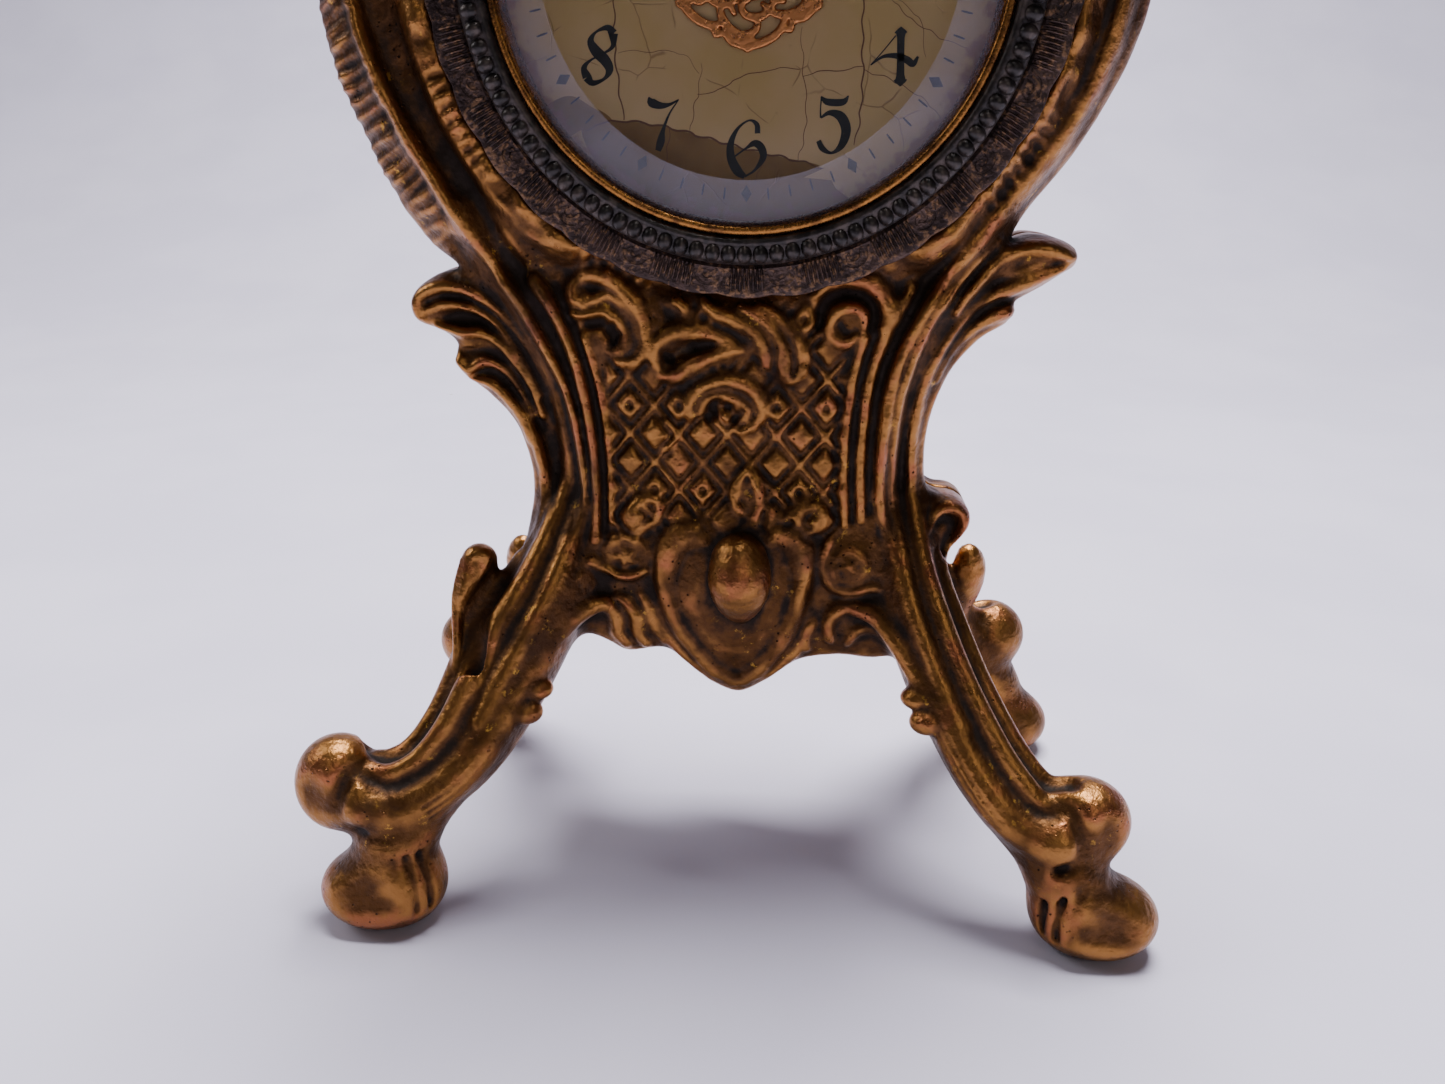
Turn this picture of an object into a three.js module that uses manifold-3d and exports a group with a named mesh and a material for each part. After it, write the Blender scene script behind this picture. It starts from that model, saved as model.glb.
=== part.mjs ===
// A small gilt mantel clock in the rococo style, on four splayed scroll legs.
// Millimetres, +Z up, the dial faces -Y. The origin is on the table, midway between the feet.
import * as THREE from "three";
import { mergeVertices } from "three/addons/utils/BufferGeometryUtils.js";
import Module from "manifold-3d";

const wasm = await Module();
wasm.setup();

// ---------------------------------------------------------------- driving dimensions
const DIAL_Z = 106.4; // height of the dial's centre
const SIGHT_R = 25.4; // visible dial, a two inch opening
const WALL = 2.2; // wall of the two castings
const PARTING = 0.15; // half the gap between the castings
const SEAT_Y = -10.7; // where the drum's flange rests on the front casting
const SEAT_R = 33;
const DRUM_R = 27.7;
const DRUM_HOLE_R = 28.4;
const COVER_Y = 14.1; // inner face of the drum's back cover
const PLATE_R = 24.8;
const FRONT_PLATE = [-3.0, -1.8]; // y of its two faces
const BACK_PLATE = [9.0, 10.2];
const FIT = 0.06; // radial running clearance
const FINE = 36; // sides of a large round
const MEDIUM = 12;
const SMALL = 8;

// Train: tooth counts, and the module that sets each pair's size.
const GREAT = { teeth: 60, pinion: 10, module: 0.3 };
const CENTRE = { teeth: 60, pinion: 8, module: 0.25 };
const THIRD = { teeth: 48, pinion: 6, module: 0.22 };
const FOURTH = { teeth: 48, pinion: 6, module: 0.2 };
const CANNON = { teeth: 36, pinion: 12, module: 0.25 };
const HOUR = { teeth: 40, pinion: 10, module: 0.24 };
const ESCAPE = { teeth: 15, tipR: 3.6, rootR: 2.5 };

// Time shown at rest, in degrees clockwise from twelve.
const MINUTE_ANGLE = 54;
const HOUR_ANGLE = 304.5;

// ---------------------------------------------------------------- finishes
const GILT = { color: 0x8a5a1e, roughness: 0.42, metalness: 0.9 };
const DARK_BRONZE = { color: 0x2c2220, roughness: 0.5, metalness: 0.8 };
const GOLD = { color: 0xb07a2c, roughness: 0.3, metalness: 1 };
const BRASS = { color: 0xb08d4a, roughness: 0.35, metalness: 0.9 };
const STEEL = { color: 0x8d9096, roughness: 0.3, metalness: 0.9 };
const BLUED = { color: 0x14151c, roughness: 0.35, metalness: 0.8 };
const TIN = { color: 0x9a9488, roughness: 0.45, metalness: 0.8 };
const ENAMEL = { color: 0xd8c79a, roughness: 0.35, metalness: 0 };
const GLASS = { color: 0xe8eeee, roughness: 0.05, metalness: 0 };

// ---------------------------------------------------------------- solids
const radians = THREE.MathUtils.degToRad;
const HUB = [0, 0];
const polar = ([x, z], distance, degrees) => [
  x + distance * Math.cos(radians(degrees)),
  z + distance * Math.sin(radians(degrees)),
];

// A closed geometry as a solid that can be joined and cut.
function solid(geometry) {
  const bare = geometry.clone();
  for (const name of Object.keys(bare.attributes)) {
    if (name !== "position") bare.deleteAttribute(name);
  }
  const merged = mergeVertices(bare, 1e-4);
  const made = new wasm.Manifold(
    new wasm.Mesh({
      numProp: 3,
      vertProperties: merged.attributes.position.array,
      triVerts: new Uint32Array(merged.index.array),
    }),
  );
  return made;
}

function geometryOf(made) {
  const mesh = made.getMesh();
  const geometry = new THREE.BufferGeometry();
  geometry.setAttribute("position", new THREE.BufferAttribute(mesh.vertProperties, 3));
  geometry.setIndex(new THREE.BufferAttribute(mesh.triVerts, 1));
  geometry.computeVertexNormals();
  return geometry;
}

const join = (first, ...others) => others.reduce((whole, piece) => whole.add(piece), first);
const cut = (first, ...others) => others.reduce((whole, piece) => whole.subtract(piece), first);

// An outline in the (x, z) plane, filled from y = front to y = back.
function slab(shape, front, back, curveSegments = 8) {
  const options = { depth: back - front, bevelEnabled: false, curveSegments };
  const geometry = new THREE.ExtrudeGeometry(shape, options);
  geometry.rotateX(Math.PI / 2);
  geometry.translate(0, back, 0);
  return solid(geometry);
}

// A profile of [radius, y] points spun about the y direction through (x, z).
function turned(profile, [x, z] = HUB, sides = MEDIUM) {
  const points = profile.map(([r, y]) => new THREE.Vector2(r, y));
  const area = points.reduce((sum, p, i) => sum + p.cross(points[(i + 1) % points.length]), 0);
  if (area < 0) points.reverse();
  const onAxis = points.findIndex((p) => p.x === 0);
  const ordered = onAxis < 0 ? [...points, points[0]] : fromAxis(points);
  const geometry = new THREE.LatheGeometry(ordered, sides);
  geometry.translate(x, 0, z);
  return solid(geometry);
}

// The profile's points in order, with its run along the axis left out.
function fromAxis(points) {
  const count = points.length;
  const start = points.findIndex((p, i) => p.x === 0 && points[(i + 1) % count].x > 0);
  return points.map((_, i) => points[(start + i) % count]);
}

const rod = (radius, front, back, at = HUB, sides = SMALL) =>
  turned([[0, front], [radius, front], [radius, back], [0, back]], at, sides);
const ring = (inner, outer, front, back, at = HUB, sides = MEDIUM) =>
  turned([[inner, front], [outer, front], [outer, back], [inner, back]], at, sides);

// A round bar through [x, y, z, radius] stations, with closed ends.
function limb(stations, sides, steps) {
  const places = stations.map(([x, y, z]) => new THREE.Vector3(x, y, z));
  const line = new THREE.CatmullRomCurve3(places, false, "centripetal");
  const points = line.getPoints(steps);
  const frames = line.computeFrenetFrames(steps);
  const radiusAt = (t) => {
    const place = t * (stations.length - 1);
    const low = Math.min(Math.floor(place), stations.length - 2);
    return THREE.MathUtils.lerp(stations[low][3], stations[low + 1][3], place - low);
  };
  const positions = [];
  for (let i = 0; i <= steps; i += 1) {
    for (let k = 0; k < sides; k += 1) {
      const turn = (2 * Math.PI * k) / sides;
      const offset = frames.normals[i].clone().multiplyScalar(Math.cos(turn));
      offset.addScaledVector(frames.binormals[i], Math.sin(turn)).multiplyScalar(radiusAt(i / steps));
      positions.push(...points[i].clone().add(offset).toArray());
    }
  }
  positions.push(...points[0].toArray(), ...points[steps].toArray());
  const faces = [];
  for (let k = 0; k < sides; k += 1) {
    const next = (k + 1) % sides;
    for (let i = 0; i < steps; i += 1) {
      const [a, b] = [i * sides + k, i * sides + next];
      faces.push(a, b, b + sides, a, b + sides, a + sides);
    }
    faces.push((steps + 1) * sides, next, k);
    faces.push((steps + 1) * sides + 1, steps * sides + k, steps * sides + next);
  }
  const geometry = new THREE.BufferGeometry();
  geometry.setAttribute("position", new THREE.Float32BufferAttribute(positions, 3));
  geometry.setIndex(faces);
  return solid(geometry);
}

function ball([x, y, z], [rx, ry, rz], sides) {
  const geometry = new THREE.SphereGeometry(1, sides, sides / 2);
  geometry.scale(rx, ry, rz);
  geometry.translate(x, y, z);
  return solid(geometry);
}

function block([x, y, z], [width, depth, height]) {
  const geometry = new THREE.BoxGeometry(width, depth, height);
  geometry.translate(x, y, z);
  return solid(geometry);
}

// ---------------------------------------------------------------- assembly
const clock = new THREE.Group();
clock.name = "mantel_clock";
// Everything in the clock's head stands about the dial's centre.
const headGroup = new THREE.Group();
headGroup.position.z = DIAL_Z;
clock.add(headGroup);

function add(parent, name, made, look, [x, z] = HUB) {
  const mesh = new THREE.Mesh(geometryOf(made), new THREE.MeshStandardMaterial(look));
  mesh.name = name;
  mesh.position.set(x, 0, z);
  parent.add(mesh);
  return mesh;
}

// ---------------------------------------------------------------- the case
// Edge of the case in the front view, from the apron's tip up the right side and down the left.
const RIGHT_EDGE = [
  [4, 26.2], [8.2, 28.6], [13.7, 29.3], [19, 28.8], [22.4, 31], [23.8, 34.6], [24.6, 38.6], [26, 42.6],
  [28, 45.4], [27.2, 47.6], [24.4, 48.8], [22.6, 50], [22.2, 54], [22.9, 58.5], [24.6, 64.3], [27.7, 68],
  [30.6, 70], [31.2, 71.2], [30.6, 72.2], [34.4, 74.2], [37.3, 76.4], [37, 78.4], [33.4, 79.3], [30, 79.2],
  [31.6, 82.4], [35.2, 87.8], [38.6, 93.8], [41, 99.9], [42, 106.4], [41.4, 114], [39.4, 121],
];
const TOP_EDGE = [
  [40.6, 126.4], [44.4, 129.6], [46, 132.8], [44, 135], [39.4, 134.4], [35, 134.6], [30, 140], [23.6, 145.2],
  [18, 148.4], [15.4, 152], [17, 156.6], [15.6, 161], [10.6, 163.2], [6.4, 165.4], [3, 169], [-1, 170],
  [-4.6, 167.4], [-6, 163.4], [-11.4, 162.8], [-16.2, 160], [-17.8, 155.4], [-20.4, 150.6], [-27, 146.6],
  [-33.4, 141.4], [-38.6, 140.6], [-43, 139.2], [-45, 135.4], [-43, 131.6], [-43.4, 127], [-45.6, 119.6],
];
const LEFT_EDGE = [
  [-46.9, 112], [-47, 104.6], [-46, 97.4], [-44, 91.6], [-42, 86.8], [-39.5, 82], [-36.6, 78], [-33.8, 75.2],
  [-36.8, 74], [-39.4, 72], [-40, 69.8], [-38, 67.6], [-34.6, 66.5], [-35.3, 64.2], [-33.2, 61.5],
  [-29.6, 58.4], [-27, 54.2], [-26.1, 49.8], [-26.6, 43.4], [-26.2, 37.4], [-24, 32], [-20.2, 31],
  [-17, 29.8], [-14, 28.5], [-9.2, 29.1], [-6, 27.3], [-0.4, 24.8],
];

function smoothShape(points, count) {
  const places = points.map(([x, z]) => new THREE.Vector3(x, z, 0));
  const line = new THREE.CatmullRomCurve3(places, true, "centripetal");
  return new THREE.Shape(line.getSpacedPoints(count).slice(0, -1).map((p) => new THREE.Vector2(p.x, p.y)));
}

const polygon = (points) => new THREE.Shape(points.map(([x, z]) => new THREE.Vector2(x, z)));
const CASE_EDGE = smoothShape([...RIGHT_EDGE, ...TOP_EDGE, ...LEFT_EDGE], 104);
const WAIST = polygon([[-21, 33], [20, 33], [18, 50], [20, 62], [26, 74], [-28, 74], [-22, 62], [-20, 50]]);
const WAIST_HOLLOW = polygon([
  [-17, 36], [16, 36], [15, 50], [17, 62], [22, 76], [-23, 76], [-18, 62], [-16.5, 50],
]);
const DIAL_AT = [0, DIAL_Z];
const ROUND_AT = [-2, DIAL_Z]; // the casting's round body sits a little left of the dial

// Each leg runs out of the casting, turns up into a scroll, and stands on a second, lower scroll.
// Stations are [x, y, z, radius], with x and y counted outwards from the middle of the case.
const FRONT_LEFT = {
  arm: [[20.5, 3.6, 47, 3.3], [23.2, 7.8, 38.5, 5], [28.4, 12.6, 28.6, 5.6], [32.6, 17.4, 21, 5.2],
    [36.8, 20.4, 16.9, 4.8], [41.6, 22.2, 15.4, 4.6], [46.6, 22.8, 16.6, 4.2]],
  scroll: { at: [47, 22.8, 17.2], size: [5.3, 4.9, 5.9] },
  ankle: [[38.5, 22, 14.5, 4.5], [40.6, 23.8, 10.2, 4.8], [41.4, 24.8, 5.6, 4.6]],
  foot: { at: [42.4, 24.8, 4.5], size: [7.2, 5.2, 4.9] },
  leaf: [[33.6, 15.5, 26, 1.8], [33.3, 13.2, 31.5, 2.5], [32.8, 11.2, 37, 2.7], [32.4, 10.2, 41.6, 1.6]],
};
const FRONT_RIGHT = {
  arm: [[19.4, 3.6, 46, 3.2], [21, 8, 38, 4.3], [24.7, 12.6, 29, 4.5], [27.6, 16, 23.8, 4.4],
    [31, 19.2, 18.9, 4.4], [35, 21.6, 15.4, 4.5], [40.2, 22.8, 15.2, 4.3]],
  scroll: { at: [40.8, 22.8, 15.8], size: [5.3, 4.9, 5] },
  ankle: [[36.4, 22.4, 13.5, 4.2], [38.8, 24, 10.2, 4.7], [40.6, 24.8, 5.6, 4.6]],
  foot: { at: [43.4, 24.8, 4.5], size: [7.2, 5.2, 4.9] },
};
const BACK_LEFT = {
  arm: [[19.4, 3.6, 46, 3.2], [21.8, 7, 38, 4.2], [25.6, 10.8, 29.5, 4.3], [29.4, 14.6, 23, 4.2],
    [33.4, 17.6, 18, 4.2], [37.6, 19.4, 15.2, 4.3], [42, 20, 15.4, 4.3]],
  scroll: { at: [42.6, 20, 15.8], size: [4.9, 4.8, 4.9] },
  ankle: [[36.8, 19.4, 14, 3.8], [39.6, 20.2, 10, 4.2], [41.6, 20.4, 5.6, 4.6]],
  foot: { at: [42.6, 20.4, 4.5], size: [6.2, 5.6, 4.9] },
  leaf: [[30.6, 14, 25, 2.2], [31.4, 12.2, 29.5, 2.4], [31.6, 10.8, 33, 2.3], [31.4, 10, 35.4, 1.6]],
};
const BACK_RIGHT = {
  arm: [[19.4, 3.6, 46, 3.2], [21.4, 7, 38, 4.2], [24.6, 10.6, 30.5, 4.3], [27.4, 14, 26, 4.2],
    [30.2, 17.2, 22, 4.2], [33.4, 19.2, 19.4, 4.3], [36.8, 20, 19.2, 4.3]],
  scroll: { at: [37, 20, 19.4], size: [5.1, 4.8, 5] },
  ankle: [[35, 19.4, 16.5, 3.8], [37.6, 20.2, 12, 4.2], [39.6, 20.4, 6.5, 4.6]],
  foot: { at: [41, 20.4, 4.5], size: [6.2, 5.6, 4.9] },
  leaf: [[30.2, 14, 26, 2.2], [31, 12.2, 30, 2.4], [31.2, 10.8, 33.4, 2.3], [31, 10, 35.8, 1.6]],
};

function leg(side, facing, { arm, scroll, ankle, foot, leaf }) {
  const place = ([x, y, z, r]) => [side * x, facing * y, z, r];
  const round = ({ at: [x, y, z], size }, sides) => ball([side * x, facing * y, z], size, sides);
  const made = [limb(arm.map(place), 7, 9), limb(ankle.map(place), 6, 3), round(scroll, 10), round(foot, 14)];
  if (leaf) made.push(limb(leaf.map(place), 6, 4));
  return join(...made);
}

// A leg keeps to its own side of the parting plane.
const cutByParting = (legs, facing) =>
  legs.map((made) => cut(made, block([0, -facing * (50 - PARTING), 50], [200, 100, 200])));

// The feet are ground flat where they stand.
const groundFlat = (made) => cut(made, block([0, 0, -10], [200, 200, 20]));

const BACK_FACE = { crest: 5, waist: 8, round: 10.4 };
const CASE_SCREWS = {
  top: { at: [0, 152], tip: -3.6, seat: BACK_FACE.crest },
  left: { at: [-13.5, 64], tip: -6.6, seat: BACK_FACE.waist },
  right: { at: [12.5, 64], tip: -6.6, seat: BACK_FACE.waist },
};
const CASE_SCREW = { shank: 1.2, head: 2.4, headHeight: 1.4 };
const screwHoles = () =>
  Object.values(CASE_SCREWS).map(({ at, tip }) => rod(CASE_SCREW.shank + 0.15, tip - 0.4, 15, at));

function caseFront() {
  const round = turned([[0, -PARTING], [43, -PARTING], [42.6, -4.6], [40, -7.4], [SEAT_R + 0.4, SEAT_Y - 0.9],
    [SEAT_R, SEAT_Y], [0, SEAT_Y]], ROUND_AT, FINE);
  const roundHollow = turned([[0, 1], [39.5, 1], [38.6, -4], [31.4, SEAT_Y + WALL], [0, SEAT_Y + WALL]],
    [-1, DIAL_Z], FINE);
  const seat = rod(SEAT_R, -20, SEAT_Y, DIAL_AT, FINE);
  const shell = cut(
    join(slab(CASE_EDGE, -5, -PARTING), round, slab(WAIST, -9, -4), ball([0, -9, 40.4], [9.4, 3.4, 12], 14),
      ball([0, -12.6, 40.4], [3.2, 3.4, 3.6], 10)),
    roundHollow, slab(WAIST_HOLLOW, -6.8, 1), seat, rod(DRUM_HOLE_R, -20, 5, DIAL_AT, FINE),
  );
  const bosses = [CASE_SCREWS.left, CASE_SCREWS.right].map(({ at }) => rod(3, -8, -PARTING, at, MEDIUM));
  const legs = [leg(-1, -1, FRONT_LEFT), leg(1, -1, FRONT_RIGHT)];
  return groundFlat(cut(join(shell, ...bosses, ...cutByParting(legs, -1)), ...screwHoles()));
}

function caseBack() {
  const round = turned([[0, PARTING], [42.6, PARTING], [42, 4.6], [38, 8.6], [33, BACK_FACE.round],
    [0, BACK_FACE.round]], ROUND_AT, FINE);
  const roundHollow = turned([[0, -1], [39.4, -1], [38.6, 4], [34, BACK_FACE.round - WALL],
    [0, BACK_FACE.round - WALL]], [-1, DIAL_Z], FINE);
  const shell = cut(
    join(slab(CASE_EDGE, PARTING, BACK_FACE.crest), round, slab(WAIST, 4, BACK_FACE.waist)),
    roundHollow, slab(WAIST_HOLLOW, -1, BACK_FACE.waist - WALL), rod(DRUM_HOLE_R, -5, 20, DIAL_AT, FINE),
  );
  const bosses = [CASE_SCREWS.left, CASE_SCREWS.right].map(({ at }) => rod(3, PARTING, 7, at, MEDIUM));
  const legs = [leg(-1, 1, BACK_LEFT), leg(1, 1, BACK_RIGHT)];
  const clipHoles = SIDES.map(([, side]) => rod(1.15, BACK_FACE.round - 3, 20, [side * CLIP_REACH, DIAL_Z]));
  return groundFlat(cut(join(shell, ...bosses, ...cutByParting(legs, 1)), ...screwHoles(), ...clipHoles));
}

// A cheese-head screw along +Y with a slot cut across its head at an angle.
function slottedScrew({ shank, head, tip, headHeight }, headY, slotDegrees) {
  const body = join(rod(shank, tip, headY + 0.05), rod(head, headY, headY + headHeight, HUB, MEDIUM));
  const slot = new THREE.BoxGeometry(2 * head + 1, 0.7, 0.5).rotateY(radians(slotDegrees));
  slot.translate(0, headY + headHeight, 0);
  return cut(body, solid(slot));
}

// A bent lug, on either side, that holds the drum's rim against the back casting.
const SIDES = [["left", -1], ["right", 1]];
const CLIP_REACH = 31.4;
const CLIP_SCREW = { shank: 1, head: 1.9, tip: 8, headHeight: 1.1 };

function drumClip(side) {
  const y = BACK_FACE.round;
  const foot = ring(1.15, 3, y + 0.15, y + 0.95);
  const finger = block([-side * 2.6, y + 2.6, 0], [0.9, 4.9, 3.6]);
  const tip = block([-side * 4.4, y + 4.65, 0], [3.4, 0.8, 3.6]);
  return cut(join(foot, finger, tip), rod(1.15, 5, y + 2));
}

function buildCase() {
  add(clock, "case_front", caseFront(), GILT);
  add(clock, "case_back", caseBack(), GILT);
  for (const [place, { at, tip, seat }] of Object.entries(CASE_SCREWS)) {
    const screw = slottedScrew({ ...CASE_SCREW, tip }, seat + 0.1, 30 + at[0] * 3);
    add(clock, `case_screw_${place}`, screw, BRASS, at);
  }
  for (const [place, side] of SIDES) {
    const at = [side * CLIP_REACH, DIAL_Z];
    add(clock, `drum_clip_${place}`, drumClip(side), BRASS, at);
    add(clock, `clip_screw_${place}`, slottedScrew(CLIP_SCREW, BACK_FACE.round + 1.05, 20 * side), STEEL, at);
  }
}

// ---------------------------------------------------------------- glass, bezel and drum
const GLASS_FRONT = -13.2;
const GLASS_BACK = -11.5;
const FLANGE = [-11.3, -10.85];
const COVER_SHEET = 0.5;

function buildFront() {
  const part = (name, profile, look) => add(headGroup, name, turned(profile, HUB, FINE), look);
  part("dial_surround", [
    [29.6, -12.25], [32.7, -12.25], [32.7, FLANGE[0] - 0.1], [29.6, FLANGE[0] - 0.1],
  ], DARK_BRONZE);
  part("bezel", [[26.15, -11.4], [26.15, -13.15], [27.1, -13.25], [27.1, -13.9], [28.3, -14.8], [29.4, -13.6],
    [29.4, -11.4]], DARK_BRONZE);
  part("glass_ring", [[SIGHT_R, -13.35], [SIGHT_R + 0.3, -14], [27, -14], [27, -13.35]], GOLD);
  part("glass", [
    [0, GLASS_BACK], [0, GLASS_FRONT], [20.8, GLASS_FRONT], [26, -12.5], [26, GLASS_BACK],
  ], GLASS);
  part("reflector_ring", [[25.6, -11.35], [26.9, -11.35], [26.9, -8.75], [24.9, -8.75]], GOLD);
  part("drum", [[27.1, FLANGE[0]], [32.4, FLANGE[0]], [32.4, FLANGE[1]], [DRUM_R, FLANGE[1]],
    [DRUM_R, COVER_Y - 0.1], [27.1, COVER_Y - 0.1]], BRASS);
  add(headGroup, "drum_cover", drumCover(), BRASS);
}

// A slot that follows an arc about a centre, to either side of the +X direction.
function arcSlot(at, radius, halfWidth, halfDegrees, front, back) {
  const shape = new THREE.Shape();
  const half = radians(halfDegrees);
  shape.absarc(at[0], at[1], radius + halfWidth, -half, half, false);
  shape.absarc(at[0], at[1], radius - halfWidth, half, -half, true);
  return slab(shape, front, back, 6);
}

function drumCover() {
  const cap = turned([[0, COVER_Y], [DRUM_R + 0.1, COVER_Y], [DRUM_R + 0.1, 11.4], [DRUM_R + 0.5, 11.4],
    [DRUM_R + 0.5, COVER_Y + COVER_SHEET], [0, COVER_Y + COVER_SHEET]], HUB, FINE);
  return cut(cap, rod(1, 10, 20), rod(2, 10, 20, WINDING_AT, MEDIUM),
    arcSlot(BALANCE_AT, REGULATOR.armR, 0.8, REGULATOR.swing + 7, 10, 20));
}

// ---------------------------------------------------------------- where the arbors stand
const pairDistance = (driver, driven, module) => ((driver + driven) * module) / 2;
const WINDING_AT = polar(HUB, pairDistance(GREAT.teeth, GREAT.pinion, GREAT.module), 225);
const THIRD_AT = polar(HUB, pairDistance(CENTRE.teeth, CENTRE.pinion, CENTRE.module), 100);
const FOURTH_AT = polar(THIRD_AT, pairDistance(THIRD.teeth, THIRD.pinion, THIRD.module), 20);
const ESCAPE_AT = polar(FOURTH_AT, pairDistance(FOURTH.teeth, FOURTH.pinion, FOURTH.module), -35);
const MINUTE_WHEEL_AT = polar(HUB, pairDistance(CANNON.teeth, CANNON.pinion, CANNON.module), 250);
const LEVER_DEGREES = -60; // from the escape wheel to the lever's arbor
const LEVER_AT = polar(ESCAPE_AT, 5.2, LEVER_DEGREES);
const FORK_DEGREES = -95; // from the lever's arbor to the balance
const BALANCE_AT = polar(LEVER_AT, 7.4, FORK_DEGREES);
const REGULATOR = { armR: 9, curbR: 4.6, swing: 20 };

// ---------------------------------------------------------------- dial and hands
function circlePath([x, z], radius) {
  const path = new THREE.Path();
  path.absarc(x, z, radius, 0, 2 * Math.PI, true);
  return path;
}

function dialOrnament() {
  const steps = 48;
  const lobes = 12;
  const outline = [...Array(steps).keys()].map((i) => {
    const degrees = (360 * i) / steps;
    return polar(HUB, 7.4 + 0.8 * Math.abs(Math.cos(radians((lobes * degrees) / 2))), degrees);
  });
  const shape = polygon(outline);
  shape.holes.push(circlePath(HUB, 3.1));
  for (let i = 0; i < 6; i += 1) shape.holes.push(circlePath(polar(HUB, 5.3, 30 + 60 * i), 1.3));
  return slab(shape, -9.2, -8.75, 4);
}

// A spade hand that points up, of a given length.
function hand(length, hubR, bore, front, back) {
  const half = [
    [0.55, hubR - 0.6], [0.5, length * 0.45], [1.7, length * 0.56], [2.1, length * 0.66],
    [1.4, length * 0.76],
    [0.45, length * 0.84],
  ];
  const otherHalf = half.map(([x, z]) => [-x, z]).reverse();
  const blade = slab(polygon([...half, [0, length], ...otherHalf]), front, back);
  return cut(join(blade, rod(hubR, front, back, HUB, MEDIUM)), rod(bore, front - 1, back + 1, HUB, MEDIUM));
}

function buildDial() {
  add(headGroup, "dial", ring(2.4, 26.2, -8.6, -8.05, HUB, FINE), ENAMEL);
  add(headGroup, "dial_plate", ring(2.6, 26.6, -7.9, -7.4, HUB, FINE), TIN);
  add(headGroup, "dial_ornament", dialOrnament(), GOLD);
  const hour = add(headGroup, "hour_hand", hand(13.2, 2.5, 1.7, -9.85, -9.45), BLUED);
  hour.rotation.y = radians(HOUR_ANGLE);
  const minute = add(headGroup, "minute_hand", hand(20.2, 2, 1.14, -10.6, -10.2), BLUED);
  minute.rotation.y = radians(MINUTE_ANGLE);
}

// ---------------------------------------------------------------- gears
// A toothed outline. Tip and root widths are shares of the pitch, and a tip of no width is a point.
function gearShape(teeth, module, { turn = 0, tip = 0, root = 0.5, add: height = 0.8, dig = 1.2 } = {}) {
  const pitchR = (teeth * module) / 2;
  const [rootR, tipR] = [pitchR - dig * module, pitchR + height * module];
  const corners = [[-root, rootR], [-tip, tipR]];
  if (tip > 0) corners.push([tip, tipR], [root, rootR]);
  const points = [];
  for (let i = 0; i < teeth; i += 1) {
    for (const [share, r] of corners) points.push(polar(HUB, r, (360 * (i + share)) / teeth + turn));
  }
  return polygon(points);
}

// A wheel with windows between its three arms.
function wheel(teeth, module, front, back, turn, hub) {
  const shape = gearShape(teeth, module, { turn });
  const rim = (teeth * module) / 2 - 1.2 * module - 0.8;
  const [arms, armHalf] = [3, 0.45];
  for (let i = 0; i < arms; i += 1) {
    const middle = ((i + 0.5) * 2 * Math.PI) / arms;
    const spread = (r) => Math.PI / arms - Math.asin(armHalf / r);
    const path = new THREE.Path();
    path.absarc(0, 0, rim, middle - spread(rim), middle + spread(rim), false);
    path.absarc(0, 0, hub, middle + spread(hub), middle - spread(hub), true);
    shape.holes.push(path);
  }
  return slab(shape, front, back, 4);
}

const pinion = (leaves, module, front, back, turn) =>
  slab(gearShape(leaves, module, { turn, tip: 0.09, root: 0.2, add: 0.7, dig: 1.15 }), front, back);

// Direction from one centre to another, which a wheel turns a tooth to and a pinion a gap.
const bearing = (from, to) => THREE.MathUtils.radToDeg(Math.atan2(to[1] - from[1], to[0] - from[0]));
const gapTowards = (from, to, teeth) => bearing(from, to) + 180 / teeth;

// An arbor between the plates, with a thin pivot at each end.
const arbor = (thick) => join(rod(thick, FRONT_PLATE[1] + 0.15, BACK_PLATE[0] - 0.15), rod(0.35, -2.9, 10.1));

function thirdWheel() {
  const leaves = pinion(CENTRE.pinion, CENTRE.module, -1.5, -0.2, gapTowards(THIRD_AT, HUB, CENTRE.pinion));
  const disc = wheel(THIRD.teeth, THIRD.module, 4, 4.7, bearing(THIRD_AT, FOURTH_AT), 1.5);
  return join(arbor(0.55), leaves, disc);
}

function fourthWheel() {
  const leaves = pinion(THIRD.pinion, THIRD.module, 3.4, 5.3, gapTowards(FOURTH_AT, THIRD_AT, THIRD.pinion));
  const disc = wheel(FOURTH.teeth, FOURTH.module, 1.7, 2.3, bearing(FOURTH_AT, ESCAPE_AT), 1.5);
  return join(arbor(0.5), leaves, disc);
}

function greatWheel() {
  const disc = wheel(GREAT.teeth, GREAT.module, 0.3, 1.5, bearing(WINDING_AT, HUB), 4.9);
  const seat = rod(1.2, 0.3, 1.5, CLICK_AT, MEDIUM);
  return cut(join(disc, seat), rod(0.4 + FIT, 0, 2, CLICK_AT), rod(1.2 + FIT, 0, 2, HUB, MEDIUM));
}

function centreWheel() {
  const disc = wheel(CENTRE.teeth, CENTRE.module, -1.2, -0.5, bearing(HUB, THIRD_AT), 2.2);
  const leaves = pinion(GREAT.pinion, GREAT.module, 0.1, 1.7, gapTowards(HUB, WINDING_AT, GREAT.pinion));
  return cut(join(rod(1.1, -2.9, 10.1, HUB, MEDIUM), disc, leaves), rod(0.6 + FIT, -5, 12));
}

// ---------------------------------------------------------------- winding
const RATCHET = { teeth: 20, tipR: 4, rootR: 3.4, y: [1.7, 2.5] };
const CLICK_DEGREES = 120; // on one of the great wheel's arms
const CLICK_AT = polar(HUB, 6.2, CLICK_DEGREES); // from the winding arbor
const CLICK_PLACE = [WINDING_AT[0] + CLICK_AT[0], WINDING_AT[1] + CLICK_AT[1]];

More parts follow.
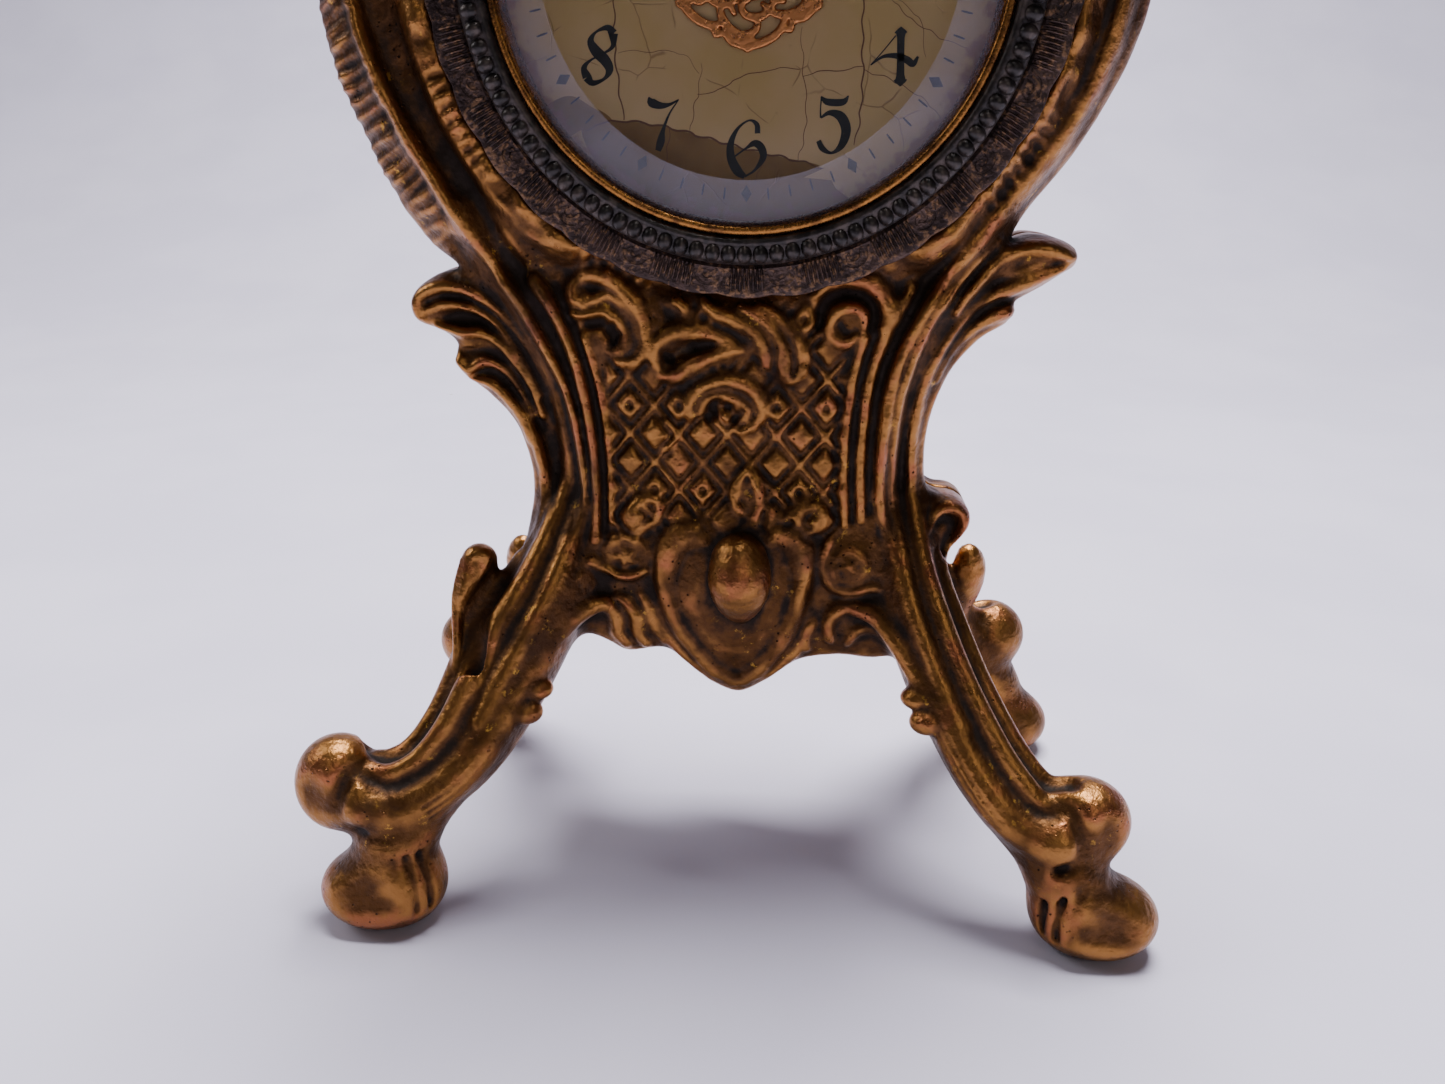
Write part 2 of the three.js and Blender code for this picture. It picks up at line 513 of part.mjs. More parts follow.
function ratchetWheel() {
  const points = [];
  for (let i = 0; i < RATCHET.teeth; i += 1) {
    const degrees = (360 * i) / RATCHET.teeth;
    points.push(polar(HUB, RATCHET.tipR, degrees), polar(HUB, RATCHET.rootR, degrees + 2));
  }
  return cut(slab(polygon(points), ...RATCHET.y), rod(1.2 + FIT, 0, 4, HUB, MEDIUM));
}

// The click's nose stands just outside the ratchet's tips, so that the ratchet can turn under it.
function click() {
  const nose = [
    polar(CLICK_AT, 0.9, 80), polar(CLICK_AT, 0.9, 220), polar(HUB, RATCHET.tipR + 0.5, CLICK_DEGREES - 16),
    polar(HUB, RATCHET.tipR + 0.12, CLICK_DEGREES - 38), polar(HUB, RATCHET.tipR + 1.5, CLICK_DEGREES - 38),
  ];
  const tail = [polar(CLICK_AT, 0.7, 120), polar(CLICK_AT, 1.5, 170), polar(CLICK_AT, 0.7, 240)];
  const blades = [nose, tail].map((outline) => slab(polygon(outline), 1.7, 2.4));
  const body = join(...blades, rod(0.95, 1.7, 2.4, CLICK_AT));
  return cut(body, rod(0.4 + FIT, 0, 4, CLICK_AT));
}

function clickSpring() {
  const shape = new THREE.Shape();
  const [from, to] = [radians(CLICK_DEGREES - 80), radians(CLICK_DEGREES - 8)];
  shape.absarc(0, 0, 7.95, from, to, false);
  shape.absarc(0, 0, 7.6, to, from, true);
  return slab(shape, 1.75, 2.15, 8);
}

// The arbor is thicker inside the mainspring, and square at the end that takes the key.
function windingArbor() {
  const thick = rod(1.9, 3, 8.2, HUB, MEDIUM);
  return join(rod(1.2, -2.9, 15.4, HUB, MEDIUM), thick, block([0, 16.6, 0], [1.7, 3, 1.7]));
}

// A thin strip coiled from an inner to an outer radius.
function coil(inner, outer, turns, thickness, front, back, perTurn) {
  const steps = Math.round(turns * perTurn);
  const place = (i, offset) =>
    polar(HUB, inner + ((outer - inner) * i) / steps + offset, (360 * i) / perTurn);
  const indices = [...Array(steps + 1).keys()];
  const edge = (offset) => indices.map((i) => place(i, offset));
  const [outside, inside] = [edge(thickness / 2), edge(-thickness / 2)];
  return slab(polygon([...outside, ...inside.reverse()]), front, back);
}

function windingKey() {
  const hub = cut(rod(2.3, 15.6, 21.4, HUB, MEDIUM), block([0, 16.6, 0], [1.95, 3.4, 1.95]));
  const outline = new THREE.Shape();
  outline.absarc(-4.4, 5, 3.6, radians(60), radians(280), false);
  outline.absarc(4.4, 5, 3.6, radians(-100), radians(120), false);
  outline.holes.push(circlePath([-4.6, 5], 1.5), circlePath([4.6, 5], 1.5));
  const wings = new THREE.ExtrudeGeometry(outline, { depth: 1.4, bevelEnabled: false, curveSegments: 8 });
  wings.translate(0, 0, -0.7).rotateY(radians(25)).translate(0, 19.7, 0);
  return join(hub, solid(wings));
}

function buildWinding() {
  add(headGroup, "great_wheel", greatWheel(), BRASS, WINDING_AT);
  add(headGroup, "ratchet_wheel", ratchetWheel(), STEEL, WINDING_AT);
  add(headGroup, "click", click(), STEEL, WINDING_AT);
  add(headGroup, "click_screw", join(rod(0.4, 0.1, 2.5), rod(0.8, 2.5, 2.8)), STEEL, CLICK_PLACE);
  add(headGroup, "click_spring", clickSpring(), BRASS, WINDING_AT);
  add(headGroup, "winding_arbor", windingArbor(), STEEL, WINDING_AT);
  add(headGroup, "winding_key", windingKey(), BRASS, WINDING_AT);
  add(headGroup, "mainspring", coil(2.3, 9.1, 4, 0.36, 3.2, 8.4, 16), STEEL, WINDING_AT);
}

// ---------------------------------------------------------------- train and motion work
function hourWheel() {
  const disc = slab(gearShape(HOUR.teeth, HOUR.module, { turn: bearing(HUB, MINUTE_WHEEL_AT) }), -5.4, -4.8);
  return cut(join(rod(1.6, -9.9, -4.8, HUB, MEDIUM), disc), rod(1.12, -11, -4, HUB, MEDIUM));
}

function minuteWheel() {
  const rim = gearShape(CANNON.teeth, CANNON.module, { turn: bearing(MINUTE_WHEEL_AT, HUB) });
  const disc = slab(rim, -4.3, -3.7);
  const leaves = pinion(HOUR.pinion, HOUR.module, -5.6, -3.7, gapTowards(MINUTE_WHEEL_AT, HUB, HOUR.pinion));
  return cut(join(disc, leaves), rod(0.5 + FIT, -7, -3));
}

function cannonPinion() {
  const gap = gapTowards(HUB, MINUTE_WHEEL_AT, CANNON.pinion);
  const leaves = pinion(CANNON.pinion, CANNON.module, -4.4, -3.4, gap);
  return cut(join(rod(1.04, -10.7, -3.4, HUB, MEDIUM), leaves), rod(0.6 + FIT, -11, -3));
}

function setKnob() {
  const grip = slab(gearShape(20, 0.4, { add: 0.6, dig: 0.6 }), 15.8, 18.4);
  return cut(join(grip, rod(2.1, 15, 15.9, HUB, MEDIUM)), rod(0.6 + FIT, 14, 20));
}

function buildTrain() {
  add(headGroup, "centre_wheel", centreWheel(), BRASS);
  add(headGroup, "third_wheel", thirdWheel(), BRASS, THIRD_AT);
  add(headGroup, "fourth_wheel", fourthWheel(), BRASS, FOURTH_AT);
  add(headGroup, "hand_arbor", rod(0.6, -11, 18.6), STEEL);
  add(headGroup, "friction_washer", turned([[0.7, 10.4], [2.2, 10.9], [2.2, 11.2], [0.7, 10.7]]), BRASS);
  add(headGroup, "set_knob", setKnob(), BRASS);
  add(headGroup, "cannon_pinion", cannonPinion(), STEEL);
  add(headGroup, "hour_wheel", hourWheel(), BRASS);
  add(headGroup, "minute_wheel", minuteWheel(), BRASS, MINUTE_WHEEL_AT);
  const minutePost = join(rod(0.5, -6.2, -3.5), rod(1.1, -3.55, -3.1));
  add(headGroup, "minute_wheel_post", minutePost, STEEL, MINUTE_WHEEL_AT);
}

// ---------------------------------------------------------------- escapement
function escapeWheel() {
  const points = [];
  const step = 360 / ESCAPE.teeth;
  for (let i = 0; i < ESCAPE.teeth; i += 1) {
    points.push(polar(HUB, ESCAPE.tipR, i * step), polar(HUB, ESCAPE.tipR, i * step + 3));
    points.push(polar(HUB, ESCAPE.rootR, i * step + 8), polar(HUB, ESCAPE.rootR, i * step + 18));
  }
  const gap = gapTowards(ESCAPE_AT, FOURTH_AT, FOURTH.pinion);
  const leaves = pinion(FOURTH.pinion, FOURTH.module, 1.1, 2.9, gap);
  return join(arbor(0.45), leaves, slab(polygon(points), 6.5, 7.1));
}

// The pallet pins stand just outside the escape wheel's tips.
// The fork stands just clear of the impulse pin's path.
const PALLET_PIN = { r: 0.25, reach: 4.2, degrees: 30 };

function palletLever() {
  const toWheel = [ESCAPE_AT[0] - LEVER_AT[0], ESCAPE_AT[1] - LEVER_AT[1]];
  const pinAt = (side) => polar(toWheel, PALLET_PIN.reach, LEVER_DEGREES + side * PALLET_PIN.degrees);
  const pins = [-1, 1].map(pinAt);
  const along = (distance, across) => polar(polar(HUB, distance, FORK_DEGREES), across, FORK_DEGREES + 90);
  const yokes = pins.map((pin) => {
    const heading = bearing(HUB, pin);
    const corners = [polar(HUB, 0.6, heading - 90), polar(pin, 0.42, heading - 60)];
    const ends = [polar(pin, 0.42, heading + 60), polar(HUB, 0.6, heading + 90)];
    return slab(polygon([...corners, ...ends]), 5.5, 6.1);
  });
  const forkHalf = [[0, 0.6], [4.2, 0.45], [5.3, 0.85], [5.4, 0.35], [4.7, 0.3]];
  const forkSide = (sign) => forkHalf.map(([d, w]) => along(d, sign * w));
  const fork = [...forkSide(-1), ...forkSide(1).reverse()];
  const posts = pins.map((pin) => rod(PALLET_PIN.r, 6, 7.4, pin));
  return join(arbor(0.45), slab(polygon(fork), 5.5, 6.1), rod(1, 5.5, 6.1), ...yokes, ...posts);
}

function balanceWheel() {
  const arm = block([0, 2.8, 0], [11.6, 0.6, 1.2]);
  const wheelBody = join(ring(5.5, 6.4, 2.4, 3.3, HUB, 24), arm, rod(1.3, 2.4, 3.3, HUB, MEDIUM));
  return cut(wheelBody, rod(0.5 + FIT, 1, 5));
}

function impulseRoller() {
  return join(ring(0.5 + FIT, 1.9, 4.8, 5.2), rod(0.2, 5.1, 6.4, polar(HUB, 1.5, FORK_DEGREES + 180)));
}

function regulator() {
  const end = REGULATOR.armR + 0.5;
  const arm = polygon([polar(HUB, 1.7, 20), polar(HUB, end, 4), polar(HUB, end, -4), polar(HUB, 1.7, -20)]);
  const plate = join(rod(2.7, 10.4, 10.8, HUB, MEDIUM), slab(arm, 10.4, 10.8));
  const tail = rod(0.45, 10.5, 15.6, [REGULATOR.armR, 0]);
  const curb = rod(0.2, 7.2, 10.5, [REGULATOR.curbR, 0]);
  return cut(join(plate, tail, curb), rod(1.2 + FIT, 10, 12, HUB, MEDIUM));
}

// A screw whose cupped end carries the balance staff's point.
function balanceScrew(tipY, headY) {
  const away = Math.sign(headY - tipY);
  const body = turned([[0, tipY + 0.7 * away], [0.7, tipY], [1.2, tipY], [1.2, headY], [0, headY]]);
  return cut(body, block([0, headY, 0], [4, 0.8, 0.4]));
}

function buildEscapement() {
  add(headGroup, "escape_wheel", escapeWheel(), BRASS, ESCAPE_AT);
  add(headGroup, "pallet_lever", palletLever(), STEEL, LEVER_AT);
  add(headGroup, "balance_wheel", balanceWheel(), BRASS, BALANCE_AT);
  const staff = turned([[0, -1.5], [0.5, -0.9], [0.5, 7.9], [0, 8.5]], HUB, SMALL);
  add(headGroup, "balance_staff", staff, STEEL, BALANCE_AT);
  add(headGroup, "impulse_roller", impulseRoller(), STEEL, BALANCE_AT);
  add(headGroup, "hairspring", coil(1.15, 4.1, 4, 0.12, 7.4, 7.8, 12), BLUED, BALANCE_AT);
  add(headGroup, "hairspring_collet", ring(0.5 + FIT, 0.98, 7.2, 7.85, HUB, SMALL), BRASS, BALANCE_AT);
  add(headGroup, "hairspring_stud", rod(0.4, 7.2, 10.1), BRASS, polar(BALANCE_AT, REGULATOR.curbR, 90));
  add(headGroup, "balance_screw_front", balanceScrew(-1.55, -4.4), STEEL, BALANCE_AT);
  add(headGroup, "balance_screw_back", balanceScrew(8.55, 11.6), STEEL, BALANCE_AT);
  add(headGroup, "regulator", regulator(), STEEL, BALANCE_AT);
}

// ---------------------------------------------------------------- movement frame
const PILLARS_AT = [80, 200, 320].map((degrees) => polar(HUB, 21.6, degrees));

function plate([front, back], ...cuts) {
  const bores = [[HUB, 1.1], [WINDING_AT, 1.2], [BALANCE_AT, 1.2]];
  const holes = bores.map(([at, r]) => rod(r + FIT, -9, 12, at, MEDIUM));
  const pivots = [THIRD_AT, FOURTH_AT, ESCAPE_AT, LEVER_AT].map((at) => rod(0.35 + FIT, -9, 12, at));
  const pillars = PILLARS_AT.map((at) => rod(0.9 + FIT, -9, 12, at));
  return cut(rod(PLATE_R, front, back, HUB, FINE), ...holes, ...pivots, ...pillars, ...cuts);
}

function buildFrame() {
  const curbSlot = arcSlot(BALANCE_AT, REGULATOR.curbR, 0.4, REGULATOR.swing + 6, 8, 11);
  const studHole = rod(0.4 + FIT, 8, 11, polar(BALANCE_AT, REGULATOR.curbR, 90));
  add(headGroup, "front_plate", plate(FRONT_PLATE), BRASS);
  add(headGroup, "back_plate", plate(BACK_PLATE, curbSlot, studHole), BRASS);
  PILLARS_AT.forEach((at, i) => {
    const barrel = rod(1.5, FRONT_PLATE[1] + 0.1, BACK_PLATE[0] - 0.1, HUB, MEDIUM);
    add(headGroup, `pillar_${i + 1}`, join(barrel, rod(0.9, -3.6, 11.6)), BRASS, at);
    const nut = cut(rod(1.9, 10.35, 11.5, HUB, 6), rod(0.9 + FIT, 10, 12));
    add(headGroup, `pillar_nut_${i + 1}`, nut, BRASS, at);
  });
}

buildCase();
buildFront();
buildDial();
buildFrame();
buildTrain();
buildWinding();
buildEscapement();

export default clock;
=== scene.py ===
"""A gilt mantel clock on four scroll legs.

Sculpts the two case castings as clay, turns the glass and its rings, lays out the dial and finishes every
part of the movement. Lengths in the shape tables are millimetres, x to the right, y to the back, z up.
"""

import math

import bpy
import numpy as np
import openvdb
from mathutils import Matrix, Vector


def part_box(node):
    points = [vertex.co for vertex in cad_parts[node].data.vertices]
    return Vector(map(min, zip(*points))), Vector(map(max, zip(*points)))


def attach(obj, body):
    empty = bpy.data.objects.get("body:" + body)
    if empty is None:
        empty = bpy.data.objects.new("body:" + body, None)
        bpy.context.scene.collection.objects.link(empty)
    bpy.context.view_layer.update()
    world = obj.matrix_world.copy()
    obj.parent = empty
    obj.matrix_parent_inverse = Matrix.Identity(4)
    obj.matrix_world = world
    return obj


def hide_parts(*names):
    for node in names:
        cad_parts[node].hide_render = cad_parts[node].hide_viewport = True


bl_info = {
    "name": "Gilt Mantel Clock",
    "version": (1, 0, 0),
    "blender": (4, 5, 0),
    "location": "View3D > Sidebar > Mantel Clock",
    "description": "Builds a gilt rococo mantel clock around its working parts",
    "category": "Object",
}

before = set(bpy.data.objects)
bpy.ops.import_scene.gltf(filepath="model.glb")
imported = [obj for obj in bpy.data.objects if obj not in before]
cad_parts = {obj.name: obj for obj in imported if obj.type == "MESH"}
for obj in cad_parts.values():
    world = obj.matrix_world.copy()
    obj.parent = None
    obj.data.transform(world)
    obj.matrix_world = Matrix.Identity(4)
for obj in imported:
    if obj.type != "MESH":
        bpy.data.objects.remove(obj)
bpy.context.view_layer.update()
MM = 0.001
DIAL_Z = round((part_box("glass")[0].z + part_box("glass")[1].z) / 2 / MM, 3)
PARTING = 0.15  # gap between each casting and the plane where they meet
STROKE_FOOT = 1.42  # how much wider a stroke's foot is than the width it is given
DIAL_FACE = -8.6
DIAL_INK = -8.66
INK_FOOT = -8.5
WINDING_AXIS = (-7.4246, DIAL_Z - 7.4246)
BALANCE_AXIS = (10.4843, DIAL_Z - 4.57)
CASE_SCREWS = ((0, 152, 5), (-13.5, 64, 8), (12.5, 64, 8))  # x, z and the y of the seat
CLIP_SCREW_X = 31.4
HOLLOW_SHARE = 0.6  # how deep the front mouldings' hollows are cut, as a share of their given height
FRONT_TRIANGLES = 196000
BACK_TRIANGLES = 160000
SMALL_TRIANGLES = 60000


# ------------------------------------------------------------------ the case's lines, seen from the front
RIGHT_EDGE = [
    (3.2, 25.2), (6.4, 27.4), (9, 28.2), (12.4, 28.6), (17.4, 28.4), (21.6, 30), (23.4, 34.6),
    (24.4, 38.6), (25.8, 42), (28, 45), (27.7, 47.2), (26, 48.5), (23.6, 48.9), (22.3, 50.2), (21.9, 55),
    (22.5, 59.5), (24.3, 64.3), (27.3, 68), (30.2, 69.9), (31.1, 71.4), (31, 72.4), (34.6, 74.6),
    (37.3, 76.6), (37.2, 78.3), (35, 79.4), (32, 79.8), (29.8, 79.3), (31.2, 82.4), (35.2, 87.8),
    (38.6, 93.8), (41, 99.9), (42, 106.4), (41.4, 114), (39.4, 121),
]
TOP_EDGE = [
    (40.6, 126.4), (44.4, 129.6), (46, 132.8), (44, 135), (39.4, 134.4), (35, 134.6), (30, 140),
    (23.6, 145.2), (18, 148.4), (15.4, 152), (17, 156.6), (15.6, 161), (10.6, 163.2), (6.4, 165.4),
    (3, 168.6), (-1, 169.6), (-4.6, 167.2), (-6, 163.4), (-11.4, 162.8), (-16.2, 160), (-17.8, 155.4),
    (-20.4, 150.6), (-27, 146.6), (-33.4, 141.4), (-38.6, 140.6), (-43, 139.2), (-45, 135.4), (-43, 131.6),
    (-43.4, 127), (-45.6, 119.6),
]
LEFT_EDGE = [
    (-46.9, 112), (-47, 104.6), (-46, 97.4), (-44, 91.6), (-42, 86.8), (-39.5, 82), (-36.6, 78),
    (-33.6, 75.4), (-36.4, 74.4), (-38.9, 72.6), (-39.7, 70.4), (-38.8, 68.9), (-36, 67.8), (-34.4, 66.3),
    (-34.9, 64.6), (-34, 62.8), (-31, 60.4), (-28, 56.9), (-26.4, 52), (-26.2, 48), (-26.6, 43.4),
    (-26.2, 37.4), (-24, 32), (-20.2, 31), (-17, 29.8), (-14, 28.3), (-9.6, 29), (-6, 26.9), (-3, 24.6),
    (0, 23.4),
]
WAIST_PANEL = [(-20, 33), (19, 33), (17, 50), (19, 62), (25, 74), (-27, 74), (-21, 62), (-19, 50)]
WAIST_HOLLOW = [(-17, 36), (16, 36), (15, 50), (17, 62), (22, 76), (-23, 76), (-18, 62), (-16.5, 50)]

# Long mouldings that run from the head down the waist and into the legs: (x, z, half width).
# Each line is a height and its points, and a height below zero is a hollow.
MOULDINGS = [
    # left side, from the outer rim inwards
    (1.0, [(-28.6, 61, .5), (-26.2, 57.6, .6), (-24.8, 53, .7), (-24.3, 48, .7), (-24.9, 42, .8),
           (-26, 38, .6)]),
    (-1.1, [(-29, 63.6, .6), (-26, 60, 1), (-23.7, 55, 1.1), (-23, 50, 1.1), (-23.3, 44, 1.2), (-25, 37, 1)]),
    (1.0, [(-31.5, 82, 1.6), (-29.6, 77.4, 1.8), (-27, 72.4, 1.5), (-24.6, 67, 1.1), (-22.7, 62, .9),
           (-21.7, 57, .8), (-21.3, 51, .8), (-21.6, 45, .8), (-23, 39, .9)]),
    (-1.0, [(-26, 71.5, .7), (-23.2, 65.5, .8), (-21.3, 60, .8), (-20.2, 55, .8), (-19.8, 50, .8),
            (-20, 44, .8)]),
    (1.5, [(-30, 142.5, .8), (-37, 134, .9), (-41, 124, .9), (-42.3, 112, .9), (-41.4, 103, .9),
           (-39.4, 96, .9), (-36.9, 90.4, .9), (-33.8, 85, .9), (-30.9, 80, .9), (-28, 75.6, .9),
           (-25.2, 70.6, .8), (-22.4, 65.6, .8), (-20.6, 61, .7), (-19.6, 56, .6), (-19.1, 51, .6),
           (-19.2, 46, .6), (-20.8, 40, .6)]),
    (-1.9, [(-27, 141, 1.2), (-34, 133.4, 1.6), (-37.8, 124, 1.7), (-39.3, 112, 1.7), (-38.6, 103, 1.7),
            (-36.8, 96.6, 1.7), (-34.4, 91, 1.6), (-31.2, 85.6, 1.4), (-28.5, 80.6, 1.2),
            (-25.8, 75.6, 1.1), (-22.9, 70, 1), (-20.4, 64.6, .9), (-18.9, 59.6, .7), (-18.2, 54, .6),
            (-18.1, 49, .6)]),
    (1.1, [(-23.8, 74.4, .8), (-22.2, 72.4, .7), (-20.5, 69, .7), (-19.2, 65, .7), (-18.2, 60, .6),
           (-17.6, 55, .6), (-17.4, 50, .6), (-17.6, 44, .6)]),
    (-1.0, [(-21.4, 74, .5), (-18.8, 67.4, .6), (-17.3, 61, .5), (-16.7, 55, .5), (-16.5, 50, .5),
            (-16.6, 45, .5)]),
    (.7, [(-18.2, 68.4, .4), (-16.8, 63, .45), (-16, 58, .4), (-15.7, 53, .4), (-15.7, 46, .4)]),
    # right side, from the outer rim inwards
    (1.0, [(25.4, 70.6, .5), (22.6, 66.6, .6), (20.9, 61.6, .7), (20.2, 56, .7), (20.4, 50, .7),
           (21.4, 45, .8), (21.8, 41, .6)]),
    (-1.5, [(27.6, 77.6, 1), (24.6, 74.4, 1.4), (22.2, 70.6, 1.3), (20.3, 66, 1), (19.2, 61, .8),
            (18.8, 55, .8), (19, 49, .8), (20, 43, .8)]),
    (.9, [(27.9, 79.4, .5), (25.2, 77, .5), (22.6, 73.6, .5), (20.3, 69.6, .5), (18.8, 65, .5),
          (18, 60, .5), (17.8, 55, .5), (18.2, 49, .5), (19.4, 43, .5)]),
    (1.4, [(27, 142.6, .9), (34, 134, 1.1), (37.6, 124, 1.2), (38.6, 112, 1.2), (38.2, 104, 1.2),
           (36.6, 97, 1.2), (34, 91, 1.2), (30.2, 85.4, 1.2), (26.8, 81, 1.1), (23.6, 77.4, .9),
           (20.8, 73.4, .8), (18.6, 69, .8), (17.2, 65, .7), (16.5, 60, .7), (16.3, 55, .6),
           (16.7, 49, .6), (18, 43, .6)]),
    (-1.5, [(26, 140, 1), (32, 132, 1.2), (35, 122, 1.3), (36, 111, 1.3), (35.6, 103, 1.3),
            (33.6, 95.6, 1.3), (30.8, 89.8, 1.2), (27, 84.4, 1.1), (23.4, 79.6, 1), (20, 74.6, .9),
            (17.4, 69.6, .8), (15.8, 65, .6), (15.1, 60, .5), (14.9, 54, .5), (15.2, 48, .5)]),
    (.8, [(18.4, 74.4, .7), (16.2, 70, .7), (14.6, 65, .6), (14, 60, .5), (13.8, 54, .5), (14.2, 47, .5)]),
    (-.7, [(15, 70.4, .5), (13.4, 65, .4), (12.9, 60, .4), (12.8, 54, .4), (13.1, 47, .4)]),
    (.7, [(13.6, 69.6, .6), (12.5, 64, .5), (12, 59, .5), (11.9, 53, .5), (12.3, 46.5, .5)]),
    (-.6, [(12, 67, .4), (11.2, 62, .35), (10.9, 57, .35), (11, 51, .35), (11.6, 46, .35)]),
]

# Leaves that stand out of the case's sides: their veins, hollows and rims.
LEAVES = [
    # upper left leaf
    (1.1, [(-38.4, 69.8, .7), (-38.6, 71.8, .9), (-36.6, 73.2, .9), (-33.6, 73.2, .7), (-30.4, 71.8, .6),
           (-27.4, 68.8, .5), (-25, 64.8, .4), (-23.4, 60, .3)]),
    (-1.1, [(-35.4, 72.2, .3), (-32.6, 71.6, .5), (-29.4, 69.4, .6), (-26.6, 66, .6), (-24.4, 62, .5),
            (-23, 57, .3)]),
    (.9, [(-37.4, 70.4, .5), (-35.2, 71.1, .6), (-32, 70.7, .6), (-29, 68.6, .55), (-26.4, 65, .5),
          (-24.4, 60.6, .4)]),
    (-1.6, [(-35.4, 69.3, .5), (-33.4, 69.5, 1), (-31.2, 69.1, .8), (-28.8, 67.2, .5), (-26.6, 64, .4)]),
    (.9, [(-36.4, 68.6, .5), (-33.6, 67.9, .6), (-30.8, 67.9, .6), (-28.2, 66, .6), (-26, 62.6, .5),
          (-24.4, 58, .4)]),
    # second left leaf
    (-.9, [(-33.4, 65.6, .5), (-30.8, 65.6, .6), (-28.2, 63.6, .6), (-26, 60.4, .5), (-24.6, 56, .3)]),
    (.9, [(-34.2, 64.4, .7), (-33, 63.4, .6), (-31, 64.6, .5), (-28.8, 63.7, .5), (-27, 61.4, .45),
          (-25.4, 58, .3)]),
    (-.8, [(-32, 63, .35), (-30, 63.2, .45), (-28, 61.4, .4), (-26.4, 58.6, .3)]),
    (.8, [(-33, 62.4, .4), (-30, 61.6, .6), (-27.6, 58.8, .6), (-26, 55, .5)]),
    # upper right leaf
    (1.3, [(36.4, 77.6, .8), (34.4, 78.7, 1), (31.4, 78.9, 1), (28.6, 77.8, .8), (26, 75, .6),
           (23.8, 71.4, .4)]),
    (-1.0, [(35.4, 77, .4), (32.4, 76.9, .6), (29.8, 76, .7), (27, 73.6, .6), (24.8, 70.4, .5),
            (22.8, 66.6, .3)]),
    (1.0, [(35.8, 76.2, .5), (33.4, 75.2, .7), (30.6, 74, .8), (27.8, 73, .8), (25, 70.6, .7),
           (22.8, 67, .5), (21.4, 62.6, .3)]),
    (-1.0, [(30.8, 72.8, .3), (28.4, 72.3, .5), (26, 70.4, .5), (23.8, 67.4, .4), (22.2, 63.6, .3)]),
    (1.2, [(30, 71.3, .9), (28.4, 71, .9), (26, 69.4, .7), (23.8, 66.6, .5), (22.4, 63.2, .4)]),
    # lower right leaf
    (1.2, [(22.6, 45.4, .4), (24, 47.4, .7), (26, 47.8, .9), (27.4, 46.6, .9), (27, 44.4, .7),
           (25.4, 40.8, .6), (24.4, 36.8, .5)]),
    (-1.0, [(23.6, 45.6, .4), (25.2, 46, .7), (25.6, 44.4, .8), (24.4, 41.4, .7), (23.4, 37.4, .5)]),
    (.9, [(22, 48.2, .4), (21.6, 45.4, .6), (21.6, 42.2, .6), (22.2, 38.2, .5)]),
]

